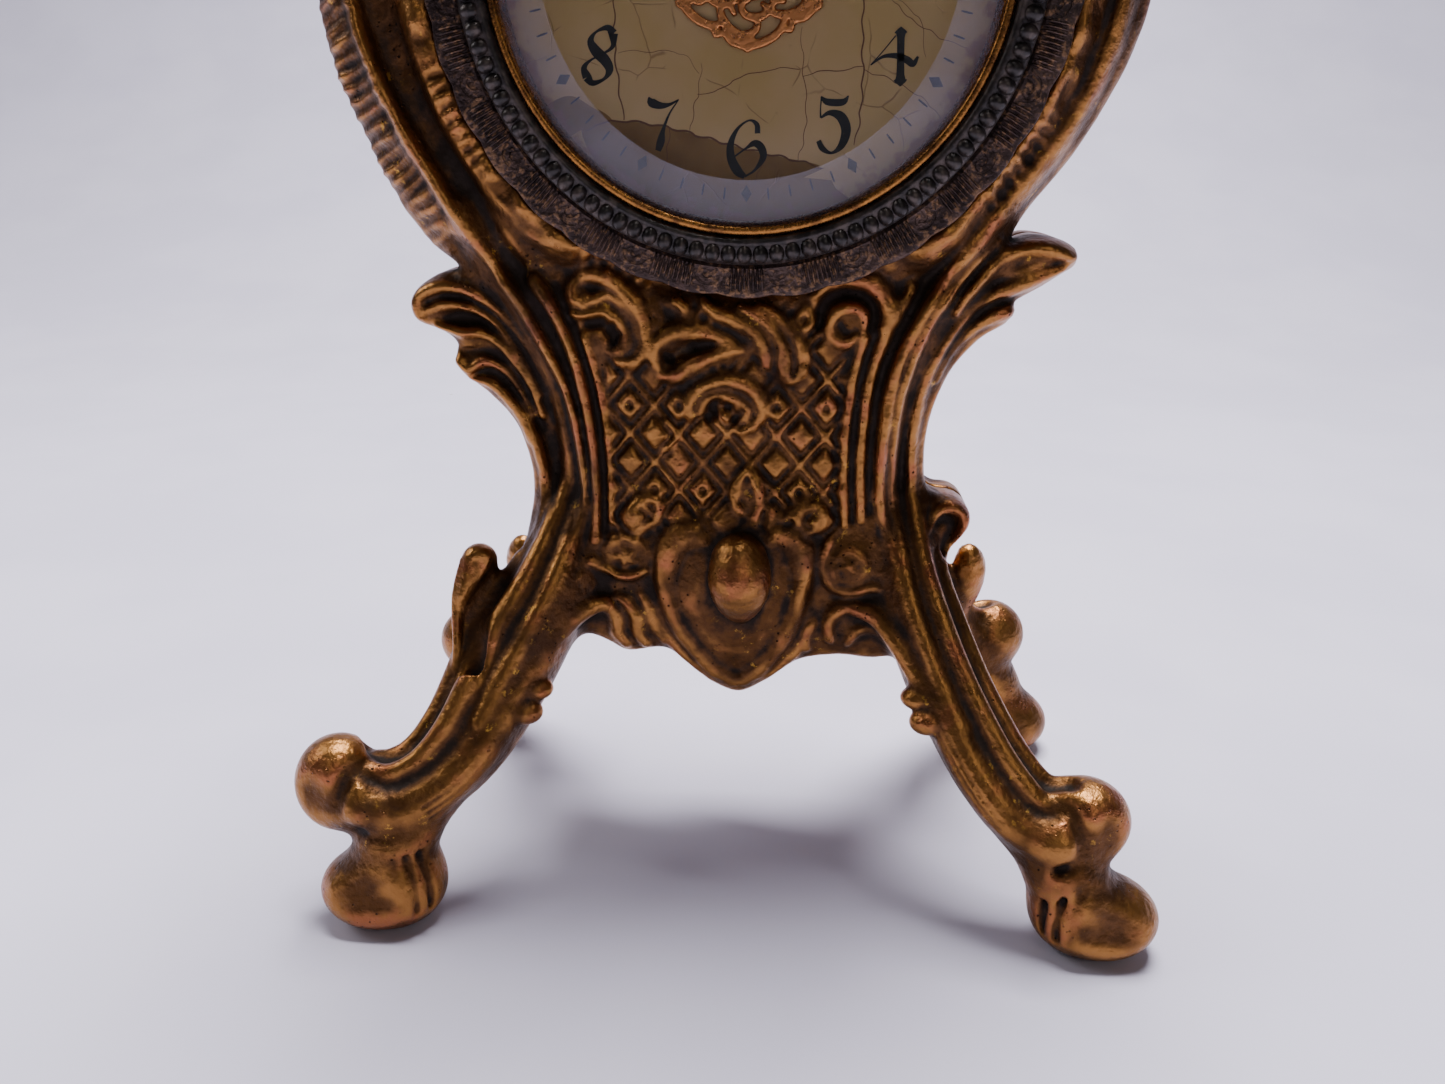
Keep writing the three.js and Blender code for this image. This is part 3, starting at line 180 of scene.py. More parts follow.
# Scrolls and shells in relief on the waist's panel.
ORNAMENT = [
    # left C scroll under the dial
    (1.4, [(-18, 72, .5), (-19.1, 72.7, .7), (-19.3, 74, .7), (-17.8, 75, .8), (-15.4, 74.8, .9),
           (-13.2, 73.4, .9), (-11.6, 71.2, .9), (-11, 68.8, .8), (-11.4, 66.8, .8), (-12.8, 65.6, .8),
           (-14.2, 65.8, .6)]),
    (1.0, [(-18.2, 73.6, .4), (-17.2, 72.6, .5), (-15.6, 73.3, .5), (-13.6, 72.2, .5), (-12.5, 70.4, .5),
           (-12.2, 68.4, .5)]),
    (1.1, [(-19.2, 71, .5), (-17.8, 70.9, .5), (-16, 71.3, .5), (-14.2, 70.4, .5), (-13.2, 68.6, .5),
           (-13.4, 67, .5), (-14.6, 66.9, .4)]),
    (-1.1, [(-17.6, 69.8, .5), (-16, 69.8, .6), (-14.9, 68.6, .6), (-14.8, 67.6, .3)]),
    # right spiral
    (1.5, [(7.8, 73.4, .4), (9, 74.6, .7), (11.2, 75.1, .9), (13.6, 74.8, 1), (15.6, 73.4, 1),
           (16.4, 71.4, .9), (15.6, 70, .6)]),
    (1.3, [(13.6, 70, .5), (13.4, 71.6, .7), (12, 72.2, .8), (10.4, 71.8, .8), (9.6, 70.4, .7),
           (10, 68.8, .7), (11.4, 68.2, .7), (12.4, 69, .5)]),
    (-1.2, [(8.4, 70, .4), (8.8, 72.2, .6), (10.6, 73.5, .6), (13, 73.3, .6), (14.4, 71.6, .5),
            (14, 69.6, .4)]),
    (.8, [(11.8, 70.9, .4), (12.6, 70.6, .5), (12.7, 71.3, .3)]),
    # middle shell: a smooth crescent, then flutes that fan out to the right
    (1.5, [(-9.6, 65, .5), (-10.4, 66.8, .9), (-9, 68.6, 1.1), (-6.4, 69.4, 1.1), (-3.4, 68.9, 1),
           (-1, 68, .7)]),
    (1.5, [(-9.4, 64.2, .5), (-7.6, 64.3, .9), (-5, 65.9, 1.2), (-2.4, 67.2, 1.1), (-.2, 67.4, .8)]),
    (-1.0, [(-8.6, 66, .4), (-6.4, 67.2, .7), (-3.8, 67.7, .5)]),
    (1.6, [(-4.6, 72.8, .4), (-3.4, 71.4, .8), (-1.2, 70.6, 1), (1, 69.4, 1), (2.4, 67.4, .9),
           (2.6, 65.6, .6)]),
    (1.5, [(-.6, 72, .4), (1.2, 71.2, .7), (3.2, 69.8, .9), (4.4, 67.6, .9), (4.6, 65, .8), (5.2, 63.8, .5)]),
    (1.3, [(1.6, 72.2, .4), (3.6, 71, .7), (5.4, 69.4, .8), (6.6, 67.2, .8), (6.6, 65, .7), (5.8, 63.9, .4)]),
    (1.0, [(-7.6, 72.6, .5), (-6.4, 71.4, .6), (-6.8, 70, .4)]),
    # small scroll below the shell
    (1.5, [(-6.2, 59.4, .5), (-6, 61.4, .8), (-4.4, 63.2, .9), (-2, 63.8, 1), (.4, 63.2, 1), (2, 61.6, .9),
           (2.2, 59.8, .7), (.8, 58.2, .5), (-.6, 57.6, .3)]),
    (1.1, [(-5, 59.8, .4), (-4.4, 61.4, .6), (-2.4, 62.2, .6), (-.6, 61.6, .6), (.6, 60.4, .5),
           (.4, 59.2, .4)]),
    (-1.1, [(-3.8, 59.4, .5), (-3, 60.6, .7), (-1.6, 60.4, .7), (-1, 59, .4)]),
    # pointed flame above the ball and the petals beside it
    (1.3, [(-.2, 48, .5), (-.9, 49.6, .6), (-.4, 51.6, .6), (.6, 53.2, .3)]),
    (1.3, [(.6, 53.2, .3), (1.8, 51.6, .6), (2.2, 49.6, .6), (1.6, 47.2, .5)]),
    (.7, [(.5, 51.4, .3), (.7, 49.6, .7), (.8, 47.6, .5)]),
    (1.1, [(3, 48.8, .3), (3.6, 47.6, .6), (3.3, 46.2, .5)]),
    (1.0, [(5.4, 47.4, .6), (7.6, 48.9, .7), (9.6, 48.4, .6), (9.8, 46.4, .5), (8, 45.5, .5)]),
    (.9, [(-12.6, 48.8, .5), (-11.2, 49.4, .6), (-9.8, 48.6, .6), (-10, 47, .5)]),
    (.9, [(-10.6, 46.2, .6), (-12.4, 45.4, .6), (-13.8, 46.2, .5)]),
    # cartouche round the ball
    (1.6, [(-5.6, 45.8, .9), (-8.2, 44.8, 1), (-9.4, 42, 1), (-9.4, 38.8, 1), (-8.6, 35.4, 1), (-7, 32, 1),
           (-4.6, 29, 1), (-2.4, 26.6, 1), (-.3, 25.6, 1), (2, 26.8, 1), (4, 29.6, 1), (5.8, 33, 1),
           (7, 36.6, 1), (7.8, 40, 1), (7.6, 43, 1), (6.2, 45, 1), (4.2, 45.6, .8)]),
    (1.8, [(-8.8, 36.4, .7), (-9, 40, 1.2), (-8.3, 43.2, 1.5), (-6.2, 44.8, 1.3), (-4.2, 44.4, .7)]),
    (1.6, [(7, 37, .7), (7.6, 40.4, 1.2), (7, 43.4, 1.4), (5.2, 45, 1.1), (3.4, 44.6, .6)]),
    (.9, [(-10, 33.6, .6), (-7.8, 29.6, .7), (-4.2, 26.2, .7), (0, 24.4, .7), (3.8, 26.2, .7),
          (7, 29.6, .7), (9, 33.6, .6)]),
    (1.0, [(-5.2, 34.4, .5), (-6.4, 35.2, .6), (-6, 36.4, .6), (-4.6, 36.6, .5), (-4, 35.4, .5)]),
    (1.0, [(3.2, 34, .5), (2.2, 35.6, .6), (3.2, 36.6, .6), (4.6, 36, .5), (4.8, 34.6, .5)]),
    (-.9, [(-1.6, 34.4, 1.2), (-1.8, 32.4, 1.5), (-.6, 31.6, 1)]),
    # brackets beside the cartouche that lead into the legs
    (1.1, [(-17.8, 41.4, .5), (-16.4, 40.2, .6), (-13.8, 39.4, .7), (-11.4, 40.2, .6)]),
    (1.0, [(-20, 38, .5), (-19, 39.6, .6), (-18.6, 37.6, .6), (-19.2, 36.8, .4)]),
    (1.2, [(-26, 29, .7), (-23.6, 33, .9), (-21, 35, 1), (-18.4, 35.4, .9)]),
    (1.3, [(-18.6, 36.4, .4), (-16.6, 35.6, .8), (-15.4, 33.8, .9), (-15.2, 31.6, .8), (-14.2, 29.8, .5)]),
    (1.2, [(-15.4, 36.6, .4), (-13.8, 35.6, .7), (-12.8, 33.6, .8), (-12.6, 31.4, .7), (-11.6, 29.8, .5)]),
    (.9, [(-12.4, 37, .4), (-11.2, 35, .6), (-10.6, 32.6, .6), (-9.4, 30.4, .4)]),
    (1.1, [(10.6, 44.4, .5), (9.8, 41.6, .6), (11, 38.8, .6), (13.6, 37.9, .7), (16, 38.8, .6)]),
    (1.2, [(11.2, 31.4, .5), (10.9, 33.6, .8), (12.2, 35.6, .9), (14.6, 36.4, .9), (17.4, 35.8, .9),
           (20.6, 34, .8), (23.4, 31, .6)]),
    (1.3, [(13.4, 31, .5), (14.4, 32.8, .8), (16.6, 33.4, .9), (19.4, 32, .9), (22.4, 29.4, .8),
           (25, 26, .6)]),
    (.9, [(8.4, 30, .5), (8.2, 32.2, .6), (9.2, 34, .4)]),
]
# Low mounds under the scrolls: (x, z, half width, half height, how high).
SWELLS = [(-14.8, 70.4, 5, 4.6, .7), (12, 71.6, 4.6, 4.6, .7), (-1.6, 68, 9, 4.6, .8),
          (-2, 60.8, 4.6, 3.6, .6), (-1, 36.5, 9, 10.5, 1.5), (-13.9, 42, 3.6, 3.2, .8),
          (13, 41.3, 3.4, 3.2, .8), (-14.6, 33.6, 5, 3.4, .7), (16.4, 33.6, 6.6, 3.4, .8),
          (7.8, 47.2, 2.6, 2.4, .4), (-11.6, 47.6, 2.8, 2.2, .4)]
ROSETTES = [(-13.9, 42, 2.5), (13, 41.3, 2.1), (-9.2, 57, 1.5), (7.8, 47, 1.2), (-12.6, 47.4, 1.1)]


# ------------------------------------------------------------------ lines and surfaces
def smooth_line(points, spacing=0.8):
    """A smooth line through the points. Numbers after a point's place change evenly along it too."""
    given = np.array(points, float)
    ends = np.vstack([2 * given[0] - given[1], given, 2 * given[-1] - given[-2]])
    made = []
    for a, b, c, d in zip(ends, ends[1:], ends[2:], ends[3:]):
        count = max(2, int(np.linalg.norm(c[:2] - b[:2]) / spacing) + 1)
        t = np.linspace(0, 1, count, endpoint=False)[:, None]
        square = 2 * a - 5 * b + 4 * c - d
        cube = 3 * b - a - 3 * c + d
        made.append(0.5 * (2 * b + (c - a) * t + square * t**2 + cube * t**3))
    return np.vstack(made + [given[-1:]])


def closed_line(points, spacing=0.8):
    """A smooth closed line through the points."""
    looped = list(points[-2:]) + list(points) + list(points[:2])
    whole = smooth_line(looped, spacing)
    first = np.argmin(np.linalg.norm(whole - np.array(points[0]), axis=1))
    last = len(whole) - 1 - np.argmin(np.linalg.norm(whole[::-1] - np.array(points[0]), axis=1))
    return whole[first:last]


def ramp(value, low, high):
    """A smooth step from 0 at low to 1 at high."""
    t = np.clip((value - low) / (high - low), 0, 1)
    return t * t * (3 - 2 * t)


def waves(x, z, size, seed):
    """Gentle unevenness between -1 and 1, of the given size, as hand work leaves it."""
    draw = np.random.default_rng(seed)
    total = np.zeros(np.broadcast(x, z).shape, np.float32)
    for _ in range(7):
        angle = draw.uniform(0, math.tau)
        pace = math.tau / (size * draw.uniform(0.7, 1.6))
        along = x * math.cos(angle) + z * math.sin(angle)
        total += np.sin(along * pace + draw.uniform(0, math.tau)).astype(np.float32)
    return total / 4


def outline_distance(x, z, outline):
    """Distance from each (x, z) to a closed outline: below zero inside it."""
    nearest = np.full(np.broadcast(x, z).shape, 1e9, np.float32)
    inside = np.zeros(nearest.shape, bool)
    for (ax, az), (bx, bz) in zip(outline, np.roll(outline, -1, axis=0)):
        dx, dz = bx - ax, bz - az
        share = np.clip(((x - ax) * dx + (z - az) * dz) / (dx * dx + dz * dz + 1e-12), 0, 1)
        nearest = np.minimum(nearest, (x - ax - share * dx) ** 2 + (z - az - share * dz) ** 2)
        if az != bz:
            inside ^= ((az > z) != (bz > z)) & (x < (z - az) / (bz - az) * dx + ax)
    return np.where(inside, -1, 1) * np.sqrt(nearest).astype(np.float32)


class Relief:
    """Heights over the front view, drawn with strokes."""

    def __init__(self, low, high, step):
        self.step = step
        self.xs = np.arange(low[0], high[0], step, dtype=np.float32)
        self.zs = np.arange(low[1], high[1], step, dtype=np.float32)
        self.x, self.z = self.xs[:, None], self.zs[None, :]
        self.height = np.zeros((len(self.xs), len(self.zs)), np.float32)

    def stroke(self, height, points):
        """A ridge along the points (x, z, half width), or a hollow where the height is below zero."""
        line = smooth_line(points)
        line[:, 2] *= STROKE_FOOT
        reach = line[:, 2].max() + self.step
        i0, i1 = np.searchsorted(self.xs, [line[:, 0].min() - reach, line[:, 0].max() + reach])
        j0, j1 = np.searchsorted(self.zs, [line[:, 1].min() - reach, line[:, 1].max() + reach])
        x, z = self.xs[i0:i1, None], self.zs[None, j0:j1]
        share = np.full((i1 - i0, j1 - j0), 9, np.float32)
        wide = np.zeros_like(share)
        for a, b in zip(line, line[1:]):
            k0, k1 = np.searchsorted(self.xs[i0:i1], [min(a[0], b[0]) - reach, max(a[0], b[0]) + reach])
            l0, l1 = np.searchsorted(self.zs[j0:j1], [min(a[1], b[1]) - reach, max(a[1], b[1]) + reach])
            dx, dz = b[0] - a[0], b[1] - a[1]
            px, pz = x[k0:k1] - a[0], z[:, l0:l1] - a[1]
            t = np.clip((px * dx + pz * dz) / (dx * dx + dz * dz + 1e-9), 0, 1)
            width = a[2] + t * (b[2] - a[2])
            found = np.hypot(px - t * dx, pz - t * dz) / width
            part = share[k0:k1, l0:l1]
            closer = found < part
            part[closer] = found[closer]
            wide[k0:k1, l0:l1][closer] = width[closer]
        strength = np.sqrt(wide / line[:, 2].max())
        patch = self.height[i0:i1, j0:j1]
        if height > 0:
            crest = np.clip(1 - share**2, 0, 1) ** 1.25 * height * strength
            raised = np.maximum(patch, crest + 0.35 * np.minimum(patch, 0.6))
            np.copyto(patch, raised, where=crest > 0)
        else:
            patch += height * strength * np.clip(1 - share**2, 0, 1) ** 1.5

    def soften(self, reach):
        """Rubs the whole relief down a little, as polishing does."""
        spread = np.arange(-3, 4) * self.step
        share = np.exp(-((spread / reach) ** 2))
        share /= share.sum()
        for axis in (0, 1):
            shifted = [w * np.roll(self.height, k - 3, axis) for k, w in enumerate(share)]
            self.height = sum(shifted).astype(np.float32)

    def at(self, x, z):
        """The height at places given as arrays."""
        i = np.clip((x - self.xs[0]) / self.step, 0, len(self.xs) - 1.001)
        j = np.clip((z - self.zs[0]) / self.step, 0, len(self.zs) - 1.001)
        i0, j0 = i.astype(int), j.astype(int)
        a, b = i - i0, j - j0
        h = self.height
        return ((h[i0, j0] * (1 - a) + h[i0 + 1, j0] * a) * (1 - b)
                + (h[i0, j0 + 1] * (1 - a) + h[i0 + 1, j0 + 1] * a) * b)


class Clay:
    """Clay on a regular grid: the distance to its surface at every point, below zero inside."""

    FAR = 6.0

    def __init__(self, low, high, step):
        self.low, self.step = np.array(low, float), step
        count = [int(math.ceil((h - l) / step)) + 1 for l, h in zip(low, high)]
        self.axes = [np.float32(start) + np.float32(step) * np.arange(n, dtype=np.float32)
                     for start, n in zip(low, count)]
        self.field = np.full(count, self.FAR, np.float32)

    def window(self, low, high):
        """The part of the grid between two corners: its slices and its coordinates."""
        cuts = tuple(slice(*np.searchsorted(axis, [l, h])) for axis, l, h in zip(self.axes, low, high))
        x, y, z = (axis[cut] for axis, cut in zip(self.axes, cuts))
        return cuts, x[:, None, None], y[None, :, None], z[None, None, :]

    def join(self, cuts, shape, soft=0.0):
        """Adds a shape to the clay, with a fillet of about the given size."""
        here = self.field[cuts]
        joined = np.minimum(here, shape)
        if soft:
            joined = joined - np.maximum(soft - np.abs(here - shape), 0) ** 2 / (4 * soft)
        self.field[cuts] = joined

    def carve(self, cuts, shape, soft=0.0):
        """Takes a shape out of the clay, with its edges rounded by about the given size."""
        here = self.field[cuts]
        left = np.maximum(here, -shape)
        if soft:
            left = left + np.maximum(soft - np.abs(here + shape), 0) ** 2 / (4 * soft)
        self.field[cuts] = left

    def rope(self, points, spacing=0.9):
        """Window and distance of a round rope along the points (x, y, z, radius)."""
        line = smooth_line(points, spacing)
        reach = line[:, 3].max() + 3
        low, high = line[:, :3].min(0) - reach, line[:, :3].max(0) + reach
        cuts, x, y, z = self.window(low, high)
        found = np.full(self.field[cuts].shape, self.FAR, np.float32)
        starts = [cut.start for cut in cuts]
        for a, b in zip(line, line[1:]):
            span = np.array([np.minimum(a[:3], b[:3]) - reach, np.maximum(a[:3], b[:3]) + reach])
            inner, px, py, pz = self.window(span[0], span[1])
            inner = tuple(slice(max(0, c.start - s), max(0, c.stop - s)) for c, s in zip(inner, starts))
            along = b[:3] - a[:3]
            px, py, pz = px - a[0], py - a[1], pz - a[2]
            t = np.clip((px * along[0] + py * along[1] + pz * along[2]) / (along @ along + 1e-9), 0, 1)
            away = np.sqrt((px - t * along[0]) ** 2 + (py - t * along[1]) ** 2 + (pz - t * along[2]) ** 2)
            found[inner] = np.minimum(found[inner], away - (a[3] + t * (b[3] - a[3])))
        return cuts, found

    def ball(self, centre, size, reach=3.0):
        """Window and distance of a rounded, three-axis ball."""
        centre, size = np.array(centre, float), np.array(size, float)
        cuts, x, y, z = self.window(centre - size - reach, centre + size + reach)
        share = np.sqrt(((x - centre[0]) / size[0]) ** 2 + ((y - centre[1]) / size[1]) ** 2
                        + ((z - centre[2]) / size[2]) ** 2)
        return cuts, (share - 1) * size.min()

    def hollow_at(self, places, blur):
        """How buried each surface place is, 0.5 on a flat and more in a recess, within about the blur."""
        thin = 2 if blur < 2 else 4
        solid = (self.field[::thin, ::thin, ::thin] < 0).astype(np.float32)
        reach = max(1, int(round(blur / (self.step * thin))))
        for axis in range(3):
            for _ in range(2):
                total = np.cumsum(solid, axis=axis)
                pad = [(0, 0)] * 3
                pad[axis] = (reach + 1, reach)
                total = np.pad(total, pad, mode="edge")
                total[tuple(slice(0, reach + 1) if k == axis else slice(None) for k in range(3))] = 0
                size = solid.shape[axis]
                after = [slice(None)] * 3
                before = [slice(None)] * 3
                after[axis] = slice(2 * reach + 1, 2 * reach + 1 + size)
                before[axis] = slice(0, size)
                solid = (total[tuple(after)] - total[tuple(before)]) / (2 * reach + 1)
        spot = (places - self.low) / (self.step * thin)
        corner = np.clip(spot.astype(int), 0, np.array(solid.shape) - 2)
        part = np.clip(spot - corner, 0, 1)
        value = np.zeros(len(places))
        for offset in np.ndindex(2, 2, 2):
            weight = np.abs(1 - np.array(offset) - part).prod(axis=1)
            value += weight * solid[tuple((corner + offset).T)]
        return value

    def skin(self, name, triangles):
        """The clay's surface as a mesh object of at most so many triangles, with how hollow each place is."""
        grid = openvdb.FloatGrid(self.FAR)
        grid.copyFromArray(np.clip(self.field, -self.FAR, self.FAR))
        points, threes, fours = grid.convertToPolygons(isovalue=0.0, adaptivity=0.0)
        places = (points * self.step + self.low) * MM
        faces = [tuple(face) for face in threes] + [tuple(face) for face in fours]
        mesh = bpy.data.meshes.new(name)
        mesh.from_pydata(places.tolist(), [], faces)
        piece = bpy.data.objects.new(name, mesh)
        bpy.context.scene.collection.objects.link(piece)
        count = len(threes) + 2 * len(fours)
        if count > triangles:
            thin = piece.modifiers.new("thin", "DECIMATE")
            thin.ratio = triangles / count
            mesh = plain_mesh(piece)
        mesh.update()
        if signed_volume(mesh) < 0:
            mesh.flip_normals()
        mesh.shade_smooth()
        spots = np.zeros(len(mesh.vertices) * 3, np.float32)
        mesh.vertices.foreach_get("co", spots)
        spots = spots.reshape(-1, 3) / MM
        for label, blur in (("recess", 0.9), ("shelter", 3.2)):
            values = mesh.attributes.new(label, "FLOAT", "POINT")
            values.data.foreach_set("value", self.hollow_at(spots, blur).astype(np.float32))
        return piece


def signed_volume(mesh):
    """Volume inside a mesh, below zero where its faces point inwards."""
    mesh.calc_loop_triangles()
    spots = np.zeros(len(mesh.vertices) * 3, np.float32)
    mesh.vertices.foreach_get("co", spots)
    corners = np.zeros(len(mesh.loop_triangles) * 3, np.int32)
    mesh.loop_triangles.foreach_get("vertices", corners)
    a, b, c = spots.reshape(-1, 3)[corners.reshape(-1, 3)].astype(float).transpose(1, 0, 2)
    return float(np.einsum("ij,ij->i", a, np.cross(b, c)).sum() / 6)


def plain_mesh(piece):
    """Replaces a piece's mesh by what its modifiers make of it, and drops them."""
    dg = bpy.context.evaluated_depsgraph_get()
    made = bpy.data.meshes.new_from_object(piece.evaluated_get(dg), depsgraph=dg)
    made.name = piece.name
    piece.modifiers.clear()
    piece.data = made
    return made


def mesh_piece(name, places, faces, smooth=True):
    """A mesh object from places in millimetres."""
    mesh = bpy.data.meshes.new(name)
    mesh.from_pydata((np.asarray(places, float) * MM).tolist(), [], [tuple(face) for face in faces])
    mesh.update()
    if smooth:
        mesh.shade_smooth()
    piece = bpy.data.objects.new(name, mesh)
    bpy.context.scene.collection.objects.link(piece)
    return piece


def turned(profile, sides=192, at=(0, DIAL_Z), radius=None):
    """Places and faces of a turned ring or disc: the profile is (radius, y), closed on itself or on its axis.

    radius(r, angle) may vary the profile round the turn, for scallops.
    """
    cx, cz = at
    angles = np.linspace(0, math.tau, sides, endpoint=False)
    places, rows = [], []
    for r, y in profile:
        if r < 1e-6:
            rows.append([len(places)] * sides)
            places.append((cx, y, cz))
            continue
        rows.append(list(range(len(places), len(places) + sides)))
        for angle in angles:
            reach = r if radius is None else radius(r, angle)
            places.append((cx + reach * math.cos(angle), y, cz + reach * math.sin(angle)))
    loop = list(zip(rows, rows[1:]))
    if profile[0][0] > 1e-6:
        loop.append((rows[-1], rows[0]))
    faces = []
    for one, two in loop:
        for k in range(sides):
            n = (k + 1) % sides
            face = [one[k], one[n], two[n], two[k]]
            kept = [v for i, v in enumerate(face) if v != face[i - 1]]
            if len(kept) > 2:
                faces.append(tuple(kept))
    return places, faces


def smooth_but_sharp(piece, crease):
    """Shades a piece smooth, but keeps edges sharper than the crease angle."""
    piece.data.shade_smooth()
    piece.data.set_sharp_from_angle(angle=math.radians(crease))


def turned_piece(name, profile, sides=192, at=(0, DIAL_Z), radius=None, crease=35):
    """A turned piece with its faces outwards and its sharp edges kept sharp."""
    piece = mesh_piece(name, *turned(profile, sides, at, radius), smooth=False)
    if signed_volume(piece.data) < 0:
        piece.data.flip_normals()
    smooth_but_sharp(piece, crease)
    return piece


def rounded(corners, size, steps=3):
    """A profile with each corner eased by the given size."""
    corners = [np.array(c, float) for c in corners]
    made = []
    for before, corner, after in zip([corners[-1]] + corners[:-1], corners, corners[1:] + corners[:1]):
        if corner[0] < 1e-6:
            made.append(tuple(corner))
            continue
        one, two = before - corner, after - corner
        cut = min(size, np.linalg.norm(one) * 0.45, np.linalg.norm(two) * 0.45)
        start = corner + one / np.linalg.norm(one) * cut
        end = corner + two / np.linalg.norm(two) * cut
        for t in np.linspace(0, 1, steps):
            made.append(tuple((1 - t) ** 2 * start + 2 * t * (1 - t) * corner + t * t * end))
    return made


def plate_piece(name, outlines, front, back):
    """Flat shapes cut from sheet: each outline is (x, z) points, between two y values."""
    places, faces = [], []
    for outline in outlines:
        first, count = len(places), len(outline)
        area = sum(a[0] * b[1] - b[0] * a[1] for a, b in zip(outline, list(outline[1:]) + [outline[0]]))
        line = list(outline) if area > 0 else list(outline)[::-1]
        places += [(x, front, z) for x, z in line] + [(x, back, z) for x, z in line]
        faces.append(tuple(first + k for k in range(count)))
        faces.append(tuple(first + count + k for k in reversed(range(count))))
        for k in range(count):
            n = (k + 1) % count
            faces.append((first + n, first + k, first + count + k, first + count + n))
    return mesh_piece(name, places, faces, smooth=False)


# ------------------------------------------------------------------ the case
# Each leg: stations (x, y, z, radius) counted outwards, then the places and sizes of its scroll and foot.
FRONT_LEFT = {
    "arm": [(20.5, 3.6, 47, 3.3), (23.2, 7.8, 38.5, 5.2), (28.4, 12.6, 28.6, 6.0), (32.6, 17.4, 21, 5.4),
            (36.8, 20.4, 16.9, 4.8), (41.6, 22.2, 15.4, 4.6), (46.6, 22.8, 16.6, 4.2)],
    "scroll": ((47, 22.8, 17.2), (5.3, 4.9, 6.0)),
    "ankle": [(38.5, 22, 14.5, 4.6), (40.6, 23.8, 10.2, 5.0), (41.4, 24.8, 5.6, 4.8)],
    "foot": ((42.4, 25.2, 4.4), (7.3, 5.8, 4.9)),
    "leaf": [(33.4, 16.4, 24.0, 1.6), (32.2, 14.8, 28, 2.4), (31.8, 13.4, 32, 2.8), (31.9, 11.8, 37, 2.9),
             (31.7, 10.8, 41.2, 2.2)],
}
FRONT_RIGHT = {
    "arm": [(19.4, 3.6, 46, 3.2), (21, 8, 38, 4.4), (24.7, 12.6, 29, 4.6), (27.6, 16, 23.8, 4.5),
            (31, 19.2, 18.9, 4.5), (35, 21.6, 15.4, 4.5), (40.2, 22.8, 15.2, 4.2)],
    "scroll": ((40.8, 22.8, 15.8), (5.3, 4.9, 5.0)),
    "ankle": [(36.4, 22.4, 13.5, 4.2), (38.8, 24, 10.2, 4.9), (40.6, 24.8, 5.6, 4.8)],
    "foot": ((43, 25.2, 4.4), (7.1, 5.8, 4.9)),
    "leaf": [],
}
BACK_LEFT = {
    "arm": [(19.4, 3.6, 46, 3.2), (21.8, 7, 38, 4.2), (25.6, 10.8, 29.5, 4.3), (29.4, 14.6, 23, 4.2),
            (33.4, 17.6, 18, 4.2), (37.6, 19.4, 15.2, 4.3), (42, 20, 15.4, 4.3)],
    "scroll": ((42.6, 20, 15.8), (4.9, 4.8, 4.9)),
    "ankle": [(36.8, 19.4, 14, 3.8), (39.6, 20.2, 10, 4.2), (41.6, 20.4, 5.6, 4.6)],
    "foot": ((42.6, 20.4, 4.4), (6.2, 5.6, 4.9)),
    "leaf": [(30.6, 14, 25, 2.2), (31.4, 12.2, 29.5, 2.5), (31.6, 10.8, 33, 2.5), (31.4, 10, 35.4, 1.6)],
}
BACK_RIGHT = {
    "arm": [(19.4, 3.6, 46, 3.2), (21.4, 7, 38, 4.2), (24.6, 10.6, 30.5, 4.3), (27.4, 14, 26, 4.2),
            (30.2, 17.2, 22, 4.2), (33.4, 19.2, 19.4, 4.3), (36.8, 20, 19.2, 4.3)],
    "scroll": ((37, 20, 19.4), (5.1, 4.8, 5.0)),
    "ankle": [(35, 19.4, 16.5, 3.8), (37.6, 20.2, 12, 4.2), (39.6, 20.4, 6.5, 4.6)],
    "foot": ((41, 20.4, 4.4), (6.2, 5.6, 4.9)),
    "leaf": [(30.2, 14, 26, 2.2), (31, 12.2, 30, 2.5), (31.2, 10.8, 33.4, 2.5), (31, 10, 35.8, 1.6)],
}
# Hollows and veins along a leg: degrees round from its outer edge to its front, how far out in radii,
# their own radius, and the shares of the leg's length where they start and stop.
LEG_HOLLOWS = [(34, 1.27, 2.2, 0.12, 0.93), (78, 1.22, 1.8, 0.02, 0.88), (110, 1.16, 0.9, 0.30, 0.82)]
LEG_VEINS = [(6, 0.94, 0.8, 0.16, 0.9), (56, 0.93, 1.1, 0.0, 0.9), (96, 0.92, 0.9, 0.02, 0.5),
             (122, 0.84, 2.0, 0.36, 0.93)]


def case_outline():
    """The case's outline in the front view."""
    return closed_line(RIGHT_EDGE + TOP_EDGE + LEFT_EDGE, 0.9)[:, :2]


def ring_height(x, z):
    """The head's own height over the parting plane, from the dial's seat out to the rim."""
    r = np.hypot(x, z - DIAL_Z)
    return np.interp(r, [0, 33.2, 34, 35.4, 36.8, 60], [11.4, 11.5, 11.7, 11.2, 9.9, 9.2]).astype(np.float32)


def back_height(x, z):
    """The back casting's own height behind the parting plane, from the drum's seat out to the rim."""
    return np.interp(np.hypot(x + 2, z - DIAL_Z), [0, 33, 38, 42, 60], [10.4, 10.4, 8.6, 5.2, 5.0])


